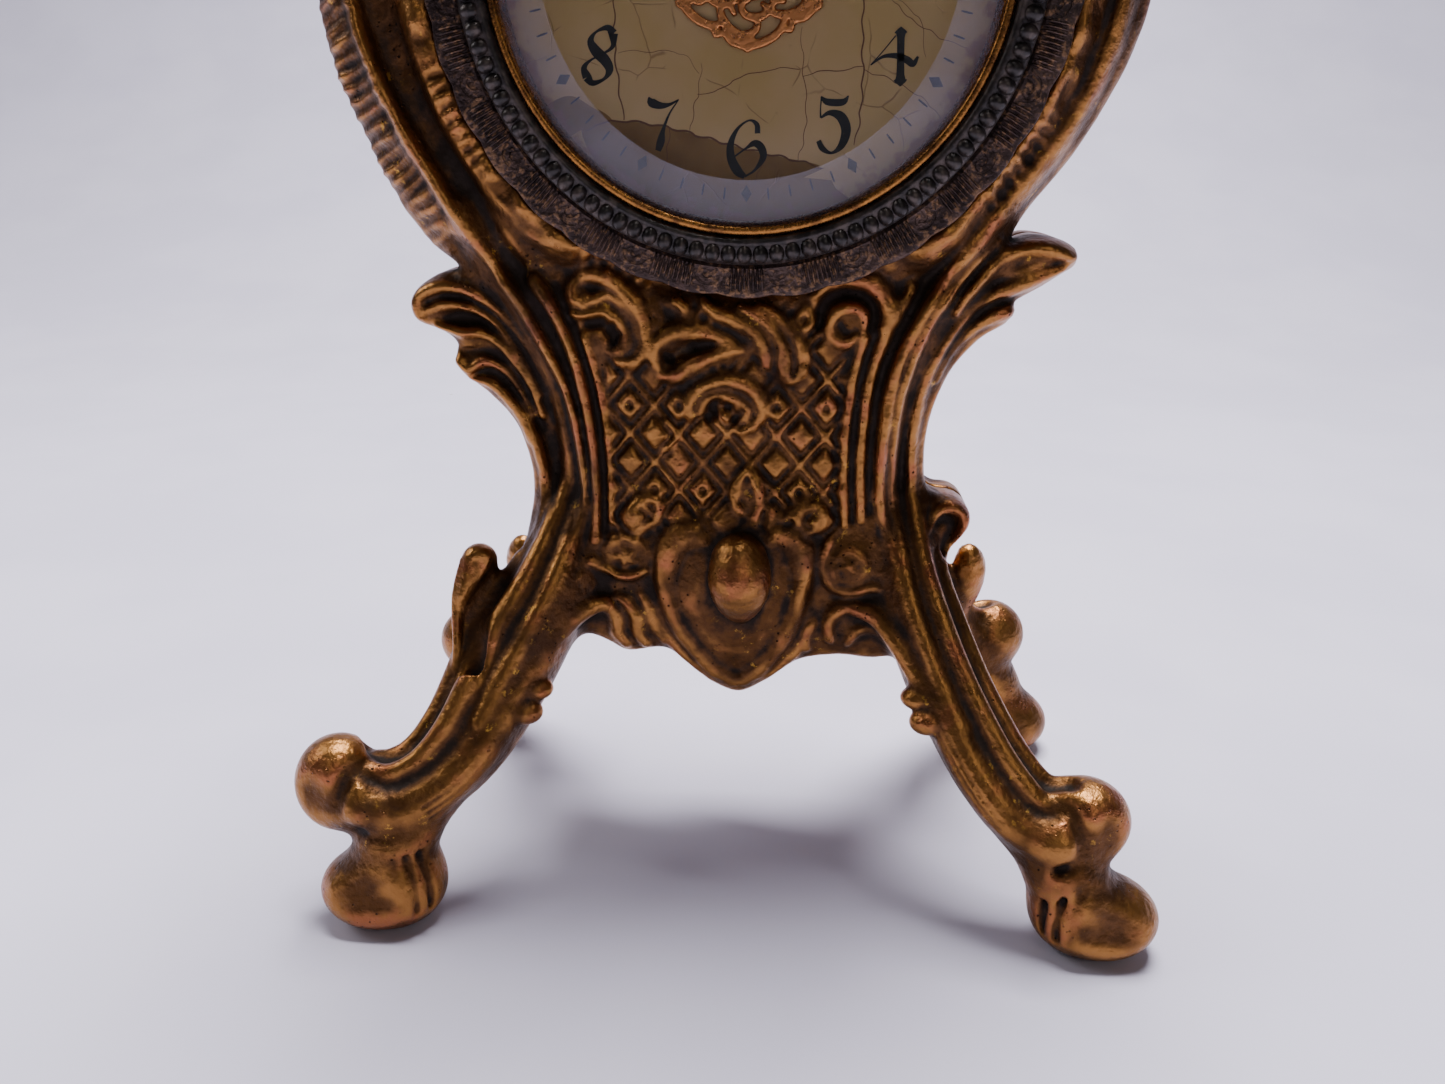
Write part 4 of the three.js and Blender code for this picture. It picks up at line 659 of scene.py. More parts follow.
def front_relief(sizes):
    """All the front's raised work over its plain form."""
    art = Relief((-52, 22), (50, 172), 0.2)
    x, z = art.x, art.z
    for height, points in MOULDINGS + LEAVES:
        share = 1.0 if height > 0 else HOLLOW_SHARE
        art.stroke(height * share * sizes.relief, points)
    lattice_work(art, sizes)
    head_ripples(art)
    crest_work(art, sizes)
    for sx, sz, wide, tall, height in SWELLS:
        away = ((x - sx) / wide) ** 2 + ((z - sz) / tall) ** 2
        art.height += height * sizes.relief * np.exp(-away**1.5)
    for height, points in ORNAMENT:
        art.stroke(height * sizes.relief, [(px, pz, 1.18 * w) for px, pz, w in points])
    for px, pz, size in ROSETTES:
        away = np.hypot(x - px, z - pz)
        turn = np.arctan2(z - pz, x - px)
        art.height += 0.6 * np.exp(-((away - size) / 0.55) ** 2) * (0.75 + 0.25 * np.sin(2 * turn + px))
        petals = 0.6 + 0.3 * np.sin(5 * turn - 4 * away / size)
        art.height += np.exp(-((away / (size * 0.62)) ** 2)) * petals
    art.height += 0.10 * waves(x, z, 5.0, 3) + 0.06 * waves(x, z, 1.6, 4)
    art.soften(0.26)
    return art


def lattice_work(art, sizes):
    """The lattice on the waist: soft pillows inside double borders, every other one with a rosette."""
    x, z = art.x, art.z
    inside = (ramp(x, -16.4, -15.0) * (1 - ramp(x, 11.0, 12.4)) * ramp(z, 43, 46) * (1 - ramp(z, 70, 74)))
    wide, tall = sizes.lattice_width, sizes.lattice_height
    u = (x + 1.8) / wide + (z - 60.6) / tall
    v = (x + 1.8) / wide - (z - 60.6) / tall
    across = np.maximum(np.abs(u - np.round(u)), np.abs(v - np.round(v)))
    edge = 0.5 - across
    border = 0.42 * np.exp(-((edge / 0.055) ** 2)) - 0.42 * np.exp(-(((edge - 0.115) / 0.045) ** 2))
    pillow = 0.5 * ramp(edge, 0.14, 0.3)
    worn = 0.95 + 0.3 * waves(x, z, 7, 11)
    art.height += inside * (border + pillow) * worn * sizes.relief
    odd = (np.round(u) + 2 * np.round(v)) % 3 == 0
    middle = np.hypot((u - np.round(u)), (v - np.round(v)))
    rosette = 0.3 * np.exp(-(((middle - 0.2) / 0.06) ** 2)) - 0.45 * np.exp(-((middle / 0.1) ** 2))
    art.height += inside * odd * rosette
    stipple = waves(x, z, 0.9, 21) * (1 - ramp(z, 49, 54)) * inside
    art.height += 0.16 * stipple


def head_ripples(art):
    """The ruffled bands round the head: radial ribs by the dial and cross ripples near the rim."""
    x, z = art.x, art.z
    r = np.hypot(x, z - DIAL_Z)
    angle = np.arctan2(z - DIAL_Z, x)
    ribs = np.sin(angle * 148 + 1.4 * waves(x, z, 9, 31))
    groups = ramp(np.sin(angle * 9 + 0.6), -0.3, 0.5)
    inner = ramp(r, 33, 33.5) * (1 - ramp(r, 35.2, 36))
    head = ramp(z, 72, 76)
    art.height += head * inner * (0.3 * ribs * groups + 0.4 * waves(x, z, 3.2, 33))
    left = ramp(-x, -6, 14)
    band_low = 41.2 - 0.8 * ramp(-angle, 2.0, 2.7)
    outer = ramp(r, band_low, band_low + 1) * left * ramp(z, 76, 80)
    cross = np.sin(angle * 190 + 2.0 * waves(x, z, 8, 35))
    art.height += outer * (0.36 * cross * ramp(waves(x, z, 12, 37), -0.7, 0.3) + 0.4 * waves(x, z, 4.5, 39))
    art.height += (1 - left) * ramp(r, 37.5, 39) * head * 0.15 * waves(x, z, 6, 41)


# One side of the crest and its shoulder: the scroll by the shell, the curled leaf, its hollow and the stems.
CREST_SIDE = [
    (1.7, [(4, 146, .7), (8, 148.6, 1), (12.4, 151.6, 1.2), (14.8, 155.6, 1.3), (12.6, 159.2, 1.3),
           (8.8, 158.4, 1.1), (8.6, 155, .9), (11, 154.6, .7)]),
    (1.4, [(12, 147.6, .6), (20, 144.6, 1.1), (28, 139.6, 1.2), (35, 133, 1.2), (40, 130.4, 1.2),
           (43, 132.6, 1.2), (41, 134.6, .9), (39, 133, .6)]),
    (-1.1, [(14, 149, .4), (21, 146, .7), (28, 142, .7), (33, 137, .6)]),
    (1.1, [(24, 137.6, .5), (30, 132.4, .9), (35.4, 126, .9), (38.6, 121, .7)]),
    (1.2, [(5, 143, .6), (12, 143.4, .9), (19, 141, .9), (24, 138, .6)]),
]


def crest_work(art, sizes):
    """A fan shell between two scrolls at the top, and a curled leaf on each shoulder."""
    deep = sizes.relief
    for k in range(7):
        lean = math.radians(-54 + 18 * k)
        tip = (17.5, 19.5, 21.5, 22.5, 21.5, 19.5, 17.5)[k] * 0.92
        foot = (-0.8 + 2.2 * math.sin(lean), 147 + 2.0 * math.cos(lean))
        end = (-0.8 + tip * math.sin(lean) * 0.78, 147 + tip * math.cos(lean))
        middle = ((foot[0] + end[0]) / 2, (foot[1] + end[1]) / 2)
        art.stroke(1.5 * deep, [(*foot, .5), (*middle, 1.3), (*end, 1.7)])
    for side in (-1, 1):
        for height, points in CREST_SIDE:
            art.stroke(height * deep, [(side * px - 0.8, pz, w) for px, pz, w in points])
    art.stroke(1.3 * deep, [(-7, 144, .8), (-.8, 142.4, 1.4), (5.4, 144, .8)])
    art.stroke(1.6 * deep, [(-2.4, 147, 1), (-.8, 146.2, 1.8), (.8, 147, 1)])


def body_of_clay(clay, facing, edge, waist, thickness, art, soft=1.7):
    """The flat body: an outline in the front view between the parting plane and a shaped face."""
    x, y, z = (axis.astype(np.float32) for axis in clay.axes)
    flat_x, flat_z = x[:, None], z[None, :]
    border = outline_distance(flat_x, flat_z, case_outline())
    inward = -border
    edge = edge + (waist - edge) * 0.95 * (1 - ramp(flat_z, 33, 41))
    deep = edge + (thickness(flat_x, flat_z) - edge) * ramp(inward, -0.5, 7.5) ** 0.75
    in_waist = 1 - ramp(flat_z, 70, 80)
    panel = -outline_distance(flat_x, flat_z, np.array(WAIST_PANEL, float))
    waist_deep = edge + (waist - edge) * ramp(panel, -3.0, 2.0)
    deep = deep * (1 - in_waist) + waist_deep * in_waist
    deep = (deep + art.at(flat_x + 0 * flat_z, flat_z + 0 * flat_x)).astype(np.float32)
    slope = np.hypot(*np.gradient(deep, clay.step))
    ease = 1 / np.sqrt(1 + slope**2)
    outward = (facing * y)[None, :, None]
    face = (outward - deep[:, None, :]) * ease[:, None, :]
    side = np.broadcast_to(border[:, None, :], face.shape)
    body = np.maximum(face, side) + np.maximum(soft - np.abs(face - side), 0) ** 2 / (4 * soft)
    body = np.maximum(body, PARTING - outward)
    clay.field = np.minimum(np.clip(body, -Clay.FAR, Clay.FAR), Clay.FAR).astype(np.float32)


def along_leg(path, degrees, out, radius, start, stop):
    """Points on a leg's surface, followed from start to stop (shares of its length)."""
    line = smooth_line(path, 2.0)
    line = line[int(start * (len(line) - 1)):int(math.ceil(stop * (len(line) - 1))) + 1]
    flow = np.gradient(line[:, :3], axis=0)
    flow /= np.linalg.norm(flow, axis=1)[:, None]
    outer = np.array([1.0, 0.0, 0.35])
    up = outer - (flow @ outer)[:, None] * flow
    up /= np.linalg.norm(up, axis=1)[:, None]
    front = np.cross(flow, up)
    front *= np.sign(front[:, 1:2] + 1e-9)
    turn = math.radians(degrees)
    where = line[:, :3] + line[:, 3:4] * out * (math.cos(turn) * up + math.sin(turn) * front)
    taper = np.sin(np.linspace(0.12, math.pi - 0.25, len(where))) ** 0.4
    return [(*p, radius * t) for p, t in zip(where, taper)]


def leg_of_clay(clay, side, facing, leg):
    """One leg: it runs out of the case, rolls up into a scroll and stands on a rounded foot."""
    def place(points):
        return [(side * x, facing * y, z, r) for x, y, z, r in points]

    (scroll_x, scroll_y, scroll_z), scroll_size = leg["scroll"]
    (foot_x, foot_y, foot_z), foot_size = leg["foot"]
    arm = leg["arm"]
    for points, soft in ((arm, 2.6), (leg["ankle"], 2.0), (leg["leaf"], 1.6)):
        if points:
            clay.join(*clay.rope(place(points)), soft)
    clay.join(*clay.ball((side * scroll_x, facing * scroll_y, scroll_z), scroll_size), 1.6)
    clay.join(*clay.ball((side * foot_x, facing * foot_y, foot_z), foot_size), 1.8)
    inner = (side * (foot_x - 2.6), facing * (foot_y - 0.6), foot_z + 0.8)
    clay.join(*clay.ball(inner, (4.7, 5.0, 4.9)), 1.6)
    # hollows, then the veins beside them
    for degrees, out, radius, start, stop in LEG_HOLLOWS:
        clay.carve(*clay.rope(place(along_leg(arm, degrees, out, radius, start, stop))), 1.2)
    for degrees, out, radius, start, stop in LEG_VEINS:
        clay.join(*clay.rope(place(along_leg(arm, degrees, out, radius, start, stop))), 1.5)
    # fine grain on the inner vein
    for k in range(4):
        clay.carve(*clay.rope(place(along_leg(arm, 108 + 10 * k, 1.27, 0.30, 0.44, 0.74))), 0.4)
    if leg["leaf"]:
        clay.carve(*clay.rope(place(along_leg(leg["leaf"], 92, 1.12, 1.5, 0.12, 0.92))), 1.0)
        clay.join(*clay.rope(place(along_leg(leg["leaf"], 20, 0.94, 0.55, 0.0, 0.95))), 0.5)
    # the scroll's fold, where the hollow rolls into it
    x, y, z = scroll_x, scroll_y, scroll_z
    fold = [(x - 4.6, y + 1.8, z + 4.4, .7), (x - 2.2, y + 4.0, z + 2.6, .8), (x - 1.6, y + 4.9, z - .6, .8),
            (x - 3.4, y + 4.8, z - 3.4, .6)]
    clay.carve(*clay.rope(place(fold)), 1.4)
    clay.join(*clay.ball((side * (x - 3.6), facing * (y + 2.6), z - 1.4), (3.2, 2.8, 2.2)), 1.4)
    clay.carve(*clay.ball((side * (x + 2.2), facing * (y + 5.6), z + 0.4), (2.4, 1.8, 2.8)), 2.0)
    # the foot's shallow dish and the flutes on its inner side
    x, y = foot_x, foot_y
    clay.carve(*clay.ball((side * (x + 0.4), facing * (y + 6.9), 6.0), (4.6, 2.4, 2.8)), 2.0)
    for k in range(3):
        flute = [(x - 3.2 - 1.1 * k, y + 3.9 - 1.2 * k, 10.2, .3),
                 (x - 4.6 - 1.1 * k, y + 5.3 - 1.5 * k, 6.4, .4),
                 (x - 4.4 - 1.0 * k, y + 5.2 - 1.5 * k, 3.6, .3)]
        clay.carve(*clay.rope(place(flute)), 0.9)
    # a curled bud where the inner vein starts, and the bracket that sweeps to it from the apron
    bud = arm[2][0] - arm[2][3] * 0.66, arm[2][1] + 3.6, arm[2][2] - 1.6
    clay.join(*clay.ball((side * bud[0], facing * bud[1], bud[2]), (2.2, 1.9, 1.4)), 0.6)
    lower_bud = (side * (bud[0] + 1.0), facing * (bud[1] + 1.8), bud[2] - 2.2)
    clay.join(*clay.ball(lower_bud, (2.2, 1.8, 1.6)), 0.5)
    sweep = [(arm[1][0] - 6.6, arm[1][1] + 2.2, 35.8, .8), (arm[1][0] - 4.2, arm[1][1] + 3.2, 35.2, 1.1),
             (arm[2][0] - 5.6, arm[2][1] + 0.8, arm[2][2] + 4.0, 1.2),
             (bud[0] + .4, bud[1] - .2, bud[2] + 1.2, 1.0)]
    clay.join(*clay.rope(place(sweep)), 1.0)


def part_castings(clay, facing):
    """Keeps a casting on its own side of the parting plane and off the table."""
    y, z = clay.axes[1], clay.axes[2]
    clay.field = np.maximum(clay.field, (PARTING - facing * y)[None, :, None]).astype(np.float32)
    clay.field = np.maximum(clay.field, -z[None, None, :]).astype(np.float32)


def hollow_out(clay, facing, profile, hollow_to):
    """The space for the movement and the hollow behind the waist."""
    x, y, z = (axis.astype(np.float32) for axis in clay.axes)
    outward = (facing * y)[None, :, None]
    away = np.hypot(x[:, None] + 1, z[None, :] - DIAL_Z)[:, None, :]
    limit = np.interp(outward, *profile).astype(np.float32)
    room = np.maximum((away - limit) * 0.9, outward - profile[0][-1])
    clay.carve(np.s_[:, :, :], room)
    waist = outline_distance(x[:, None], z[None, :], np.array(WAIST_HOLLOW, float))[:, None, :]
    roof = hollow_to - 3.2 * ramp(z, 62, 72)[None, None, :]
    clay.carve(np.s_[:, :, :], np.maximum(waist, outward - roof))
    bore = np.hypot(x[:, None], z[None, :] - DIAL_Z)[:, None, :] - 28.4 + 0 * outward
    clay.carve(np.s_[:, :, :], bore)


def sculpt_front(sizes):
    """The front casting with its two legs and the drop on its shield."""
    step = sizes.clay_step * 1.0
    clay = Clay((-54.6, -31.6, -0.9), (53.6, 0.6, 171), step)
    art = front_relief(sizes)
    body_of_clay(clay, -1, 5.0, 9.0, ring_height, art)
    leg_of_clay(clay, -1, -1, FRONT_LEFT)
    leg_of_clay(clay, 1, -1, FRONT_RIGHT)
    swell = clay.ball((-0.6, -9.2, 36.6), (6.6, 2.4, 9.6))
    clay.join(*swell, 1.6)
    cuts, drop = clay.rope([(-0.1, -12.2, 42.6, 3.4), (0, -13.0, 40.8, 3.8), (0, -12.4, 38.4, 3.1),
                            (0.1, -11.4, 36.2, 1.8)], 0.5)
    clay.join(cuts, drop, 0.5)
    hollow_out(clay, -1, ([-1, 4, 8.5], [39.5, 38.6, 31.4]), 6.6)
    x, y, z = clay.axes
    seat = np.hypot(x[:, None], z[None, :] - DIAL_Z)[:, None, :] - 33.0
    clay.carve(np.s_[:, :, :], np.maximum(seat, (y + 10.7)[None, :, None]), 0.3)
    part_castings(clay, -1)
    return clay


def sculpt_back(sizes):
    """The back casting with its two legs and the seats for its screws."""
    step = sizes.clay_step * 1.25
    clay = Clay((-53.6, -0.6, -0.9), (52.6, 31.6, 171), step)
    art = Relief((-52, 22), (50, 172), 0.3)
    for height, points in MOULDINGS:
        art.stroke(height * 0.55 * sizes.relief, points)
    for height, points in LEAVES:
        art.stroke(height * 0.7 * sizes.relief, points)
    crest_work(art, sizes)
    art.height *= 0.8
    art.height += 0.12 * waves(art.x, art.z, 6.0, 53)
    quiet = ramp(np.hypot(art.x, art.z - DIAL_Z), 34.5, 37)
    art.height *= quiet
    body_of_clay(clay, 1, 4.4, 8.0, back_height, art)
    leg_of_clay(clay, -1, 1, BACK_LEFT)
    leg_of_clay(clay, 1, 1, BACK_RIGHT)
    hollow_out(clay, 1, ([-1, 4, 8.2], [39.4, 38.6, 34.0]), 5.8)
    for px, pz, seat in CASE_SCREWS:
        flat_seat(clay, px, pz, 2.7, seat)
    for side in (-1, 1):
        flat_seat(clay, side * CLIP_SCREW_X, DIAL_Z, 3.3, 10.4)
    part_castings(clay, 1)
    return clay


def flat_seat(clay, px, pz, radius, height):
    """A flat round land for a screw's head, with its hole."""
    cuts, x, y, z = clay.window((px - radius - 1, height - 2, pz - radius - 1),
                                (px + radius + 1, 16, pz + radius + 1))
    away = np.hypot(x - px, z - pz)
    clay.carve(cuts, np.maximum(away - radius, height - y), 0.3)
    clay.join(cuts, np.maximum(away - radius, y - height), 0.4)
    cuts, x, y, z = clay.window((px - 3, 0, pz - 3), (px + 3, 16, pz + 3))
    clay.carve(cuts, np.hypot(x - px, z - pz) - 1.3 + 0 * y)


# ------------------------------------------------------------------ finishes
class Number:
    """A number or colour that a shader node gives, so that sums can be written as sums."""

    def __init__(self, finish, socket):
        self.finish, self.socket = finish, socket

    def _sum(self, operation, first, second):
        return self.finish.node("ShaderNodeMath", {"operation": operation}, {0: first, 1: second})

    def __add__(self, other):
        return self._sum("ADD", self, other)

    def __sub__(self, other):
        return self._sum("SUBTRACT", self, other)

    def __rsub__(self, other):
        return self._sum("SUBTRACT", other, self)

    def __mul__(self, other):
        return self._sum("MULTIPLY", self, other)

    def __pow__(self, other):
        return self._sum("POWER", self, other)

    __radd__ = __add__
    __rmul__ = __mul__

    def between(self, low, high):
        """0 at low, 1 at high, and smooth between them."""
        return self.finish.node("ShaderNodeMapRange", {"interpolation_type": "SMOOTHSTEP"},
                                {"Value": self, "From Min": low, "From Max": high})


class Finish:
    """A material built from nodes. Patterns are read from the piece's own place, in millimetres."""

    def __init__(self, name):
        self.material = bpy.data.materials.new(name)
        self.material.use_nodes = True
        self.tree = self.material.node_tree
        self.tree.nodes.clear()
        place = self.node("ShaderNodeTexCoord", output="Object")
        self.place = self.node("ShaderNodeVectorMath", {"operation": "SCALE"}, {0: place, "Scale": 1 / MM})

    def node(self, kind, settings=None, inputs=None, output=0):
        """A new node with its settings and inputs, as the value of one of its outputs."""
        made = self.tree.nodes.new(kind)
        for key, value in (settings or {}).items():
            setattr(made, key, value)
        for key, value in (inputs or {}).items():
            if isinstance(value, Number):
                self.tree.links.new(value.socket, made.inputs[key])
            else:
                made.inputs[key].default_value = value
        return Number(self, made.outputs[output])

    def noise(self, size, detail=3.0, rough=0.55, place=None):
        """Uneven value about 0.5, with features of the given size in millimetres."""
        return self.node("ShaderNodeTexNoise", None, {
            "Vector": place or self.place, "Scale": 1 / size, "Detail": detail, "Roughness": rough})

    def cells(self, size, feature="F1", place=None):
        """Distance to scattered points, or to the borders between them."""
        return self.node("ShaderNodeTexVoronoi", {"feature": feature},
                         {"Vector": place or self.place, "Scale": 1 / size}, "Distance")

    def stretched(self, x=1.0, y=1.0, z=1.0):
        """The place with its axes stretched, for grain and brushing."""
        return self.node("ShaderNodeVectorMath", {"operation": "MULTIPLY"}, {0: self.place, 1: (x, y, z)})

    def stored(self, label):
        """A value stored on the piece's own surface."""
        return self.node("ShaderNodeAttribute", {"attribute_name": label}, output="Fac")

    def blend(self, share, first, second):
        """One colour turning into another."""
        ends = [value if isinstance(value, Number) else (*value, 1) for value in (first, second)]
        return self.node("ShaderNodeMix", {"data_type": "RGBA"}, {0: share, 6: ends[0], 7: ends[1]}, 2)

    def bump(self, height, depth, under=None):
        """Raises the surface where height is large, by depth in millimetres."""
        given = {"Height": height, "Strength": 1.0, "Distance": depth * MM}
        if under:
            given["Normal"] = under
        return self.node("ShaderNodeBump", None, given)

    def surface(self, **sockets):
        """The Principled surface: names with underscores stand for its sockets' names."""
        given = {key.replace("_", " "): value for key, value in sockets.items()}
        for key, value in given.items():
            if isinstance(value, tuple) and len(value) == 3:
                given[key] = (*value, 1)
        shader = self.node("ShaderNodeBsdfPrincipled", None, given, "BSDF")
        end = self.tree.nodes.new("ShaderNodeOutputMaterial")
        self.tree.links.new(shader.socket, end.inputs["Surface"])
        return self.material


def rgb(red, green, blue):
    """A colour given as it looks on a screen, 0 to 255, as the shader needs it."""
    return tuple((c / 12.92 if c <= 0.04045 else ((c + 0.055) / 1.055) ** 2.4)
                 for c in (red / 255, green / 255, blue / 255))


def gilt_finish(look):
    """Worn gilding over cast spelter: a painted highlight brightens the crests, and painted shade darkens the
    recesses to a dark brown.
    """
    f = Finish("worn gilding")
    recess, shelter = f.stored("recess"), f.stored("shelter")
    patch, fine = f.noise(7.0, 4, 0.6), f.noise(1.1, 3, 0.6)
    # Painted shade: this mask grows where the surface is buried in a recess; it darkens the gilding there,
    # dulls its metal and roughens it.
    low = (recess + (fine - 0.5) * 0.12 + (shelter - 0.5) * 0.22).between(0.505, 0.63)
    # Painted highlight and wear: this mask grows on the crests; it brightens them as if lit, lets worn copper
    # show there and smooths them.
    high = (recess + (patch - 0.5) * 0.22 + (shelter - 0.5) * 0.20).between(0.485, 0.36)
    copper = (high * f.noise(5.0, 3).between(0.46, 0.66)) * 0.8
    gold = f.blend(patch.between(0.36, 0.64), tuple(look.gilt), rgb(84, 54, 26))
    gold = f.blend(f.noise(2.2, 4, 0.65).between(0.44, 0.70) * 0.6, gold, rgb(66, 44, 28))
    scuffed = f.noise(1.6, 4, 0.7).between(0.60, 0.68) * f.noise(9.0, 3).between(0.48, 0.62)
    gold = f.blend(scuffed * 0.7, gold, rgb(212, 160, 66))
    # Painted highlight on the crests.
    gold = f.blend(high * 0.75, gold, tuple(look.bright_gilt))
    gold = f.blend(copper, gold, tuple(look.copper))
    # Painted shade in the recesses.
    gold = f.blend(low * 0.92, gold, tuple(look.recess))
    stain = f.noise(13.0, 4, 0.62).between(0.56, 0.70)
    gold = f.blend(stain * 0.6, gold, rgb(46, 32, 26))
    pits = f.cells(0.9).between(0.20, 0.08) * f.noise(5.0, 2).between(0.5, 0.62)
    gold = f.blend(pits * 0.8, gold, rgb(20, 14, 11))
    rough = 0.44 + low * 0.26 + stain * 0.12 + (fine - 0.5) * 0.30 - high * 0.12
    bumps = f.bump(f.noise(0.5, 3, 0.6), 0.10)
    bumps = f.bump(f.noise(2.6, 2) - pits * 0.5, 0.34, bumps)
    return f.surface(Base_Color=gold, Metallic=0.92 - low * 0.35, Roughness=rough, Normal=bumps)


def dark_bronze_finish(look):
    """Stamped brass gone nearly black, with brown showing on the crests."""
    f = Finish("darkened bronze")
    patch, fine = f.noise(2.4, 4, 0.6), f.noise(0.6, 3)
    base = f.blend(patch.between(0.35, 0.68), tuple(look.bronze), rgb(84, 66, 58))
    base = f.blend(fine.between(0.50, 0.66) * 0.7, base, rgb(138, 104, 74))
    return f.surface(Base_Color=base, Metallic=0.75, Roughness=0.42 + (fine - 0.5) * 0.4,
                     Normal=f.bump(fine + patch * 0.6, 0.16))


def bead_finish():
    """Black-brown lacquer, rubbed on the tops of the beads."""
    f = Finish("black lacquered beads")
    patch = f.noise(1.3, 3)
    base = f.blend(patch.between(0.4, 0.7), rgb(40, 36, 34), rgb(76, 66, 60))
    return f.surface(Base_Color=base, Metallic=0.6, Roughness=0.34 + (patch - 0.5) * 0.3,
                     Normal=f.bump(f.noise(0.5, 3), 0.08))


def bright_gilt_finish():
    """Thin gilding that has kept its shine, with brown in its scratches."""
    f = Finish("bright gilding")
    patch, fine = f.noise(2.0, 3), f.noise(0.35, 3)
    colour = f.blend(patch.between(0.42, 0.66) * 0.8, rgb(156, 106, 54), rgb(88, 58, 36))
    return f.surface(Base_Color=colour, Metallic=1.0, Roughness=0.28 + (fine - 0.5) * 0.3,
                     Normal=f.bump(fine, 0.05))


def copper_gilt_finish():
    """The dial's pierced ornament: coppery gilding with black in its hollows."""
    f = Finish("coppery gilding")
    recess = f.stored("recess")
    fine = f.noise(0.7, 3)
    colour = f.blend((recess + (fine - 0.5) * 0.2).between(0.42, 0.62), rgb(206, 138, 84), rgb(48, 28, 20))
    return f.surface(Base_Color=colour, Metallic=0.95, Roughness=0.3 + (fine - 0.5) * 0.3,
                     Normal=f.bump(f.noise(0.4, 2), 0.06))


def brass_finish():
    """Lacquered brass with fine brushing and a few tarnished patches."""
    f = Finish("brushed brass")
    grain = f.noise(0.5, 3, 0.7, f.stretched(1.0, 6.0, 0.15))
    patch = f.noise(3.0, 3)
    base = f.blend(patch.between(0.5, 0.75) * 0.6, rgb(182, 146, 78), rgb(124, 90, 44))
    base = f.blend(f.cells(2.4).between(0.10, 0.03) * 0.6, base, rgb(70, 50, 26))
    return f.surface(Base_Color=base, Metallic=1.0, Roughness=0.26 + (grain - 0.5) * 0.3,
                     Normal=f.bump(grain, 0.03))


def steel_finish():
    """Polished steel with faint draw lines."""
    f = Finish("polished steel")
    grain = f.noise(0.4, 3, 0.7, f.stretched(0.2, 5.0, 1.0))
    base = f.blend(f.noise(1.6, 3).between(0.52, 0.75) * 0.5, rgb(150, 153, 158), rgb(88, 84, 82))
    return f.surface(Base_Color=base, Metallic=1.0, Roughness=0.22 + (grain - 0.5) * 0.25,
                     Normal=f.bump(grain, 0.02))


def blued_finish():
    """Steel blued by heat, drifting to purple."""
    f = Finish("blued steel")
    drift = f.noise(4.0, 2)
    base = f.blend(drift.between(0.4, 0.65), rgb(22, 28, 58), rgb(42, 28, 50))
    return f.surface(Base_Color=base, Metallic=0.95, Roughness=0.24 + (f.noise(0.5, 2) - 0.5) * 0.2,
                     Normal=f.bump(f.noise(0.6, 2), 0.02))


def tin_finish():
    """Tinned backing plate, grey and mottled."""
    f = Finish("tinned plate")
    patch = f.noise(2.0, 4)
    base = f.blend(patch.between(0.4, 0.62), rgb(148, 142, 132), rgb(98, 92, 84))
    return f.surface(Base_Color=base, Metallic=0.85, Roughness=0.42 + (patch - 0.5) * 0.3,
                     Normal=f.bump(patch, 0.05))


def dial_finish(name, light, dark, low=0.36, high=0.66):
    """Dial skin in two clouded tones: fine crazing, brown stain at the rim and a soft shine."""
    f = Finish(name)
    cloud, fine = f.noise(9.0, 3), f.noise(1.2, 4)
    base = f.blend(cloud.between(low, high), light, dark)
    middle = f.node("ShaderNodeVectorMath", {"operation": "SUBTRACT"}, {0: f.place, 1: (0, 0, DIAL_Z)})
    flat = f.node("ShaderNodeVectorMath", {"operation": "MULTIPLY"}, {0: middle, 1: (1, 0, 1)})
    away = f.node("ShaderNodeVectorMath", {"operation": "LENGTH"}, {0: flat}, "Value")
    rim = (away + (f.noise(1.6, 3) - 0.5) * 5.0).between(23.6, 25.0)
    base = f.blend(rim * 0.75, base, rgb(150, 96, 84))
    craze = f.cells(6.5, "DISTANCE_TO_EDGE", f.node("ShaderNodeVectorMath", {"operation": "ADD"}, {
        0: f.place, 1: f.node("ShaderNodeTexNoise", None, {"Vector": f.place, "Scale": 0.3}, "Color")}))
    line = craze.between(0.012, 0.002) * f.noise(6.0, 2).between(0.46, 0.56)
    base = f.blend(line * 0.5, base, rgb(120, 84, 52))
    base = f.blend(fine.between(0.66, 0.8) * 0.4, base, rgb(150, 116, 72))
    return f.surface(Base_Color=base, Metallic=0.0, Roughness=0.34 + (fine - 0.5) * 0.2, Coat_Weight=0.3,
                     Coat_Roughness=0.2, Normal=f.bump(fine - line, 0.03))


def haze_finish():
    """The ground bevel of the glass: clear, but greyed by fine grinding."""
    f = Finish("ground bevel")
    cloud = f.noise(5.0, 3)
    return f.surface(Base_Color=rgb(176, 176, 196), Roughness=0.30 + (cloud - 0.5) * 0.2, Metallic=0.0,
                     Alpha=0.06 + cloud.between(0.3, 0.7) * 0.06)


def ink_finish(name, colour, worn):
    """Printed ink, worn through here and there by the given share."""
    f = Finish(name)
    fine = f.noise(0.5, 4, 0.7)
    base = f.blend(fine.between(0.62, 0.74) * worn, colour, rgb(98, 84, 62))
    return f.surface(Base_Color=base, Roughness=0.5 + (fine - 0.5) * 0.2, Metallic=0.0,
                     Normal=f.bump(fine, 0.01))


def glass_finish():
    """Clear glass with the faint haze of age."""
    f = Finish("bevelled glass")
    smear = f.noise(6.0, 3)
    return f.surface(Base_Color=(0.97, 0.975, 0.97), Roughness=0.02 + smear.between(0.45, 0.8) * 0.05,
                     Metallic=0.0, IOR=1.5, Transmission_Weight=1.0)


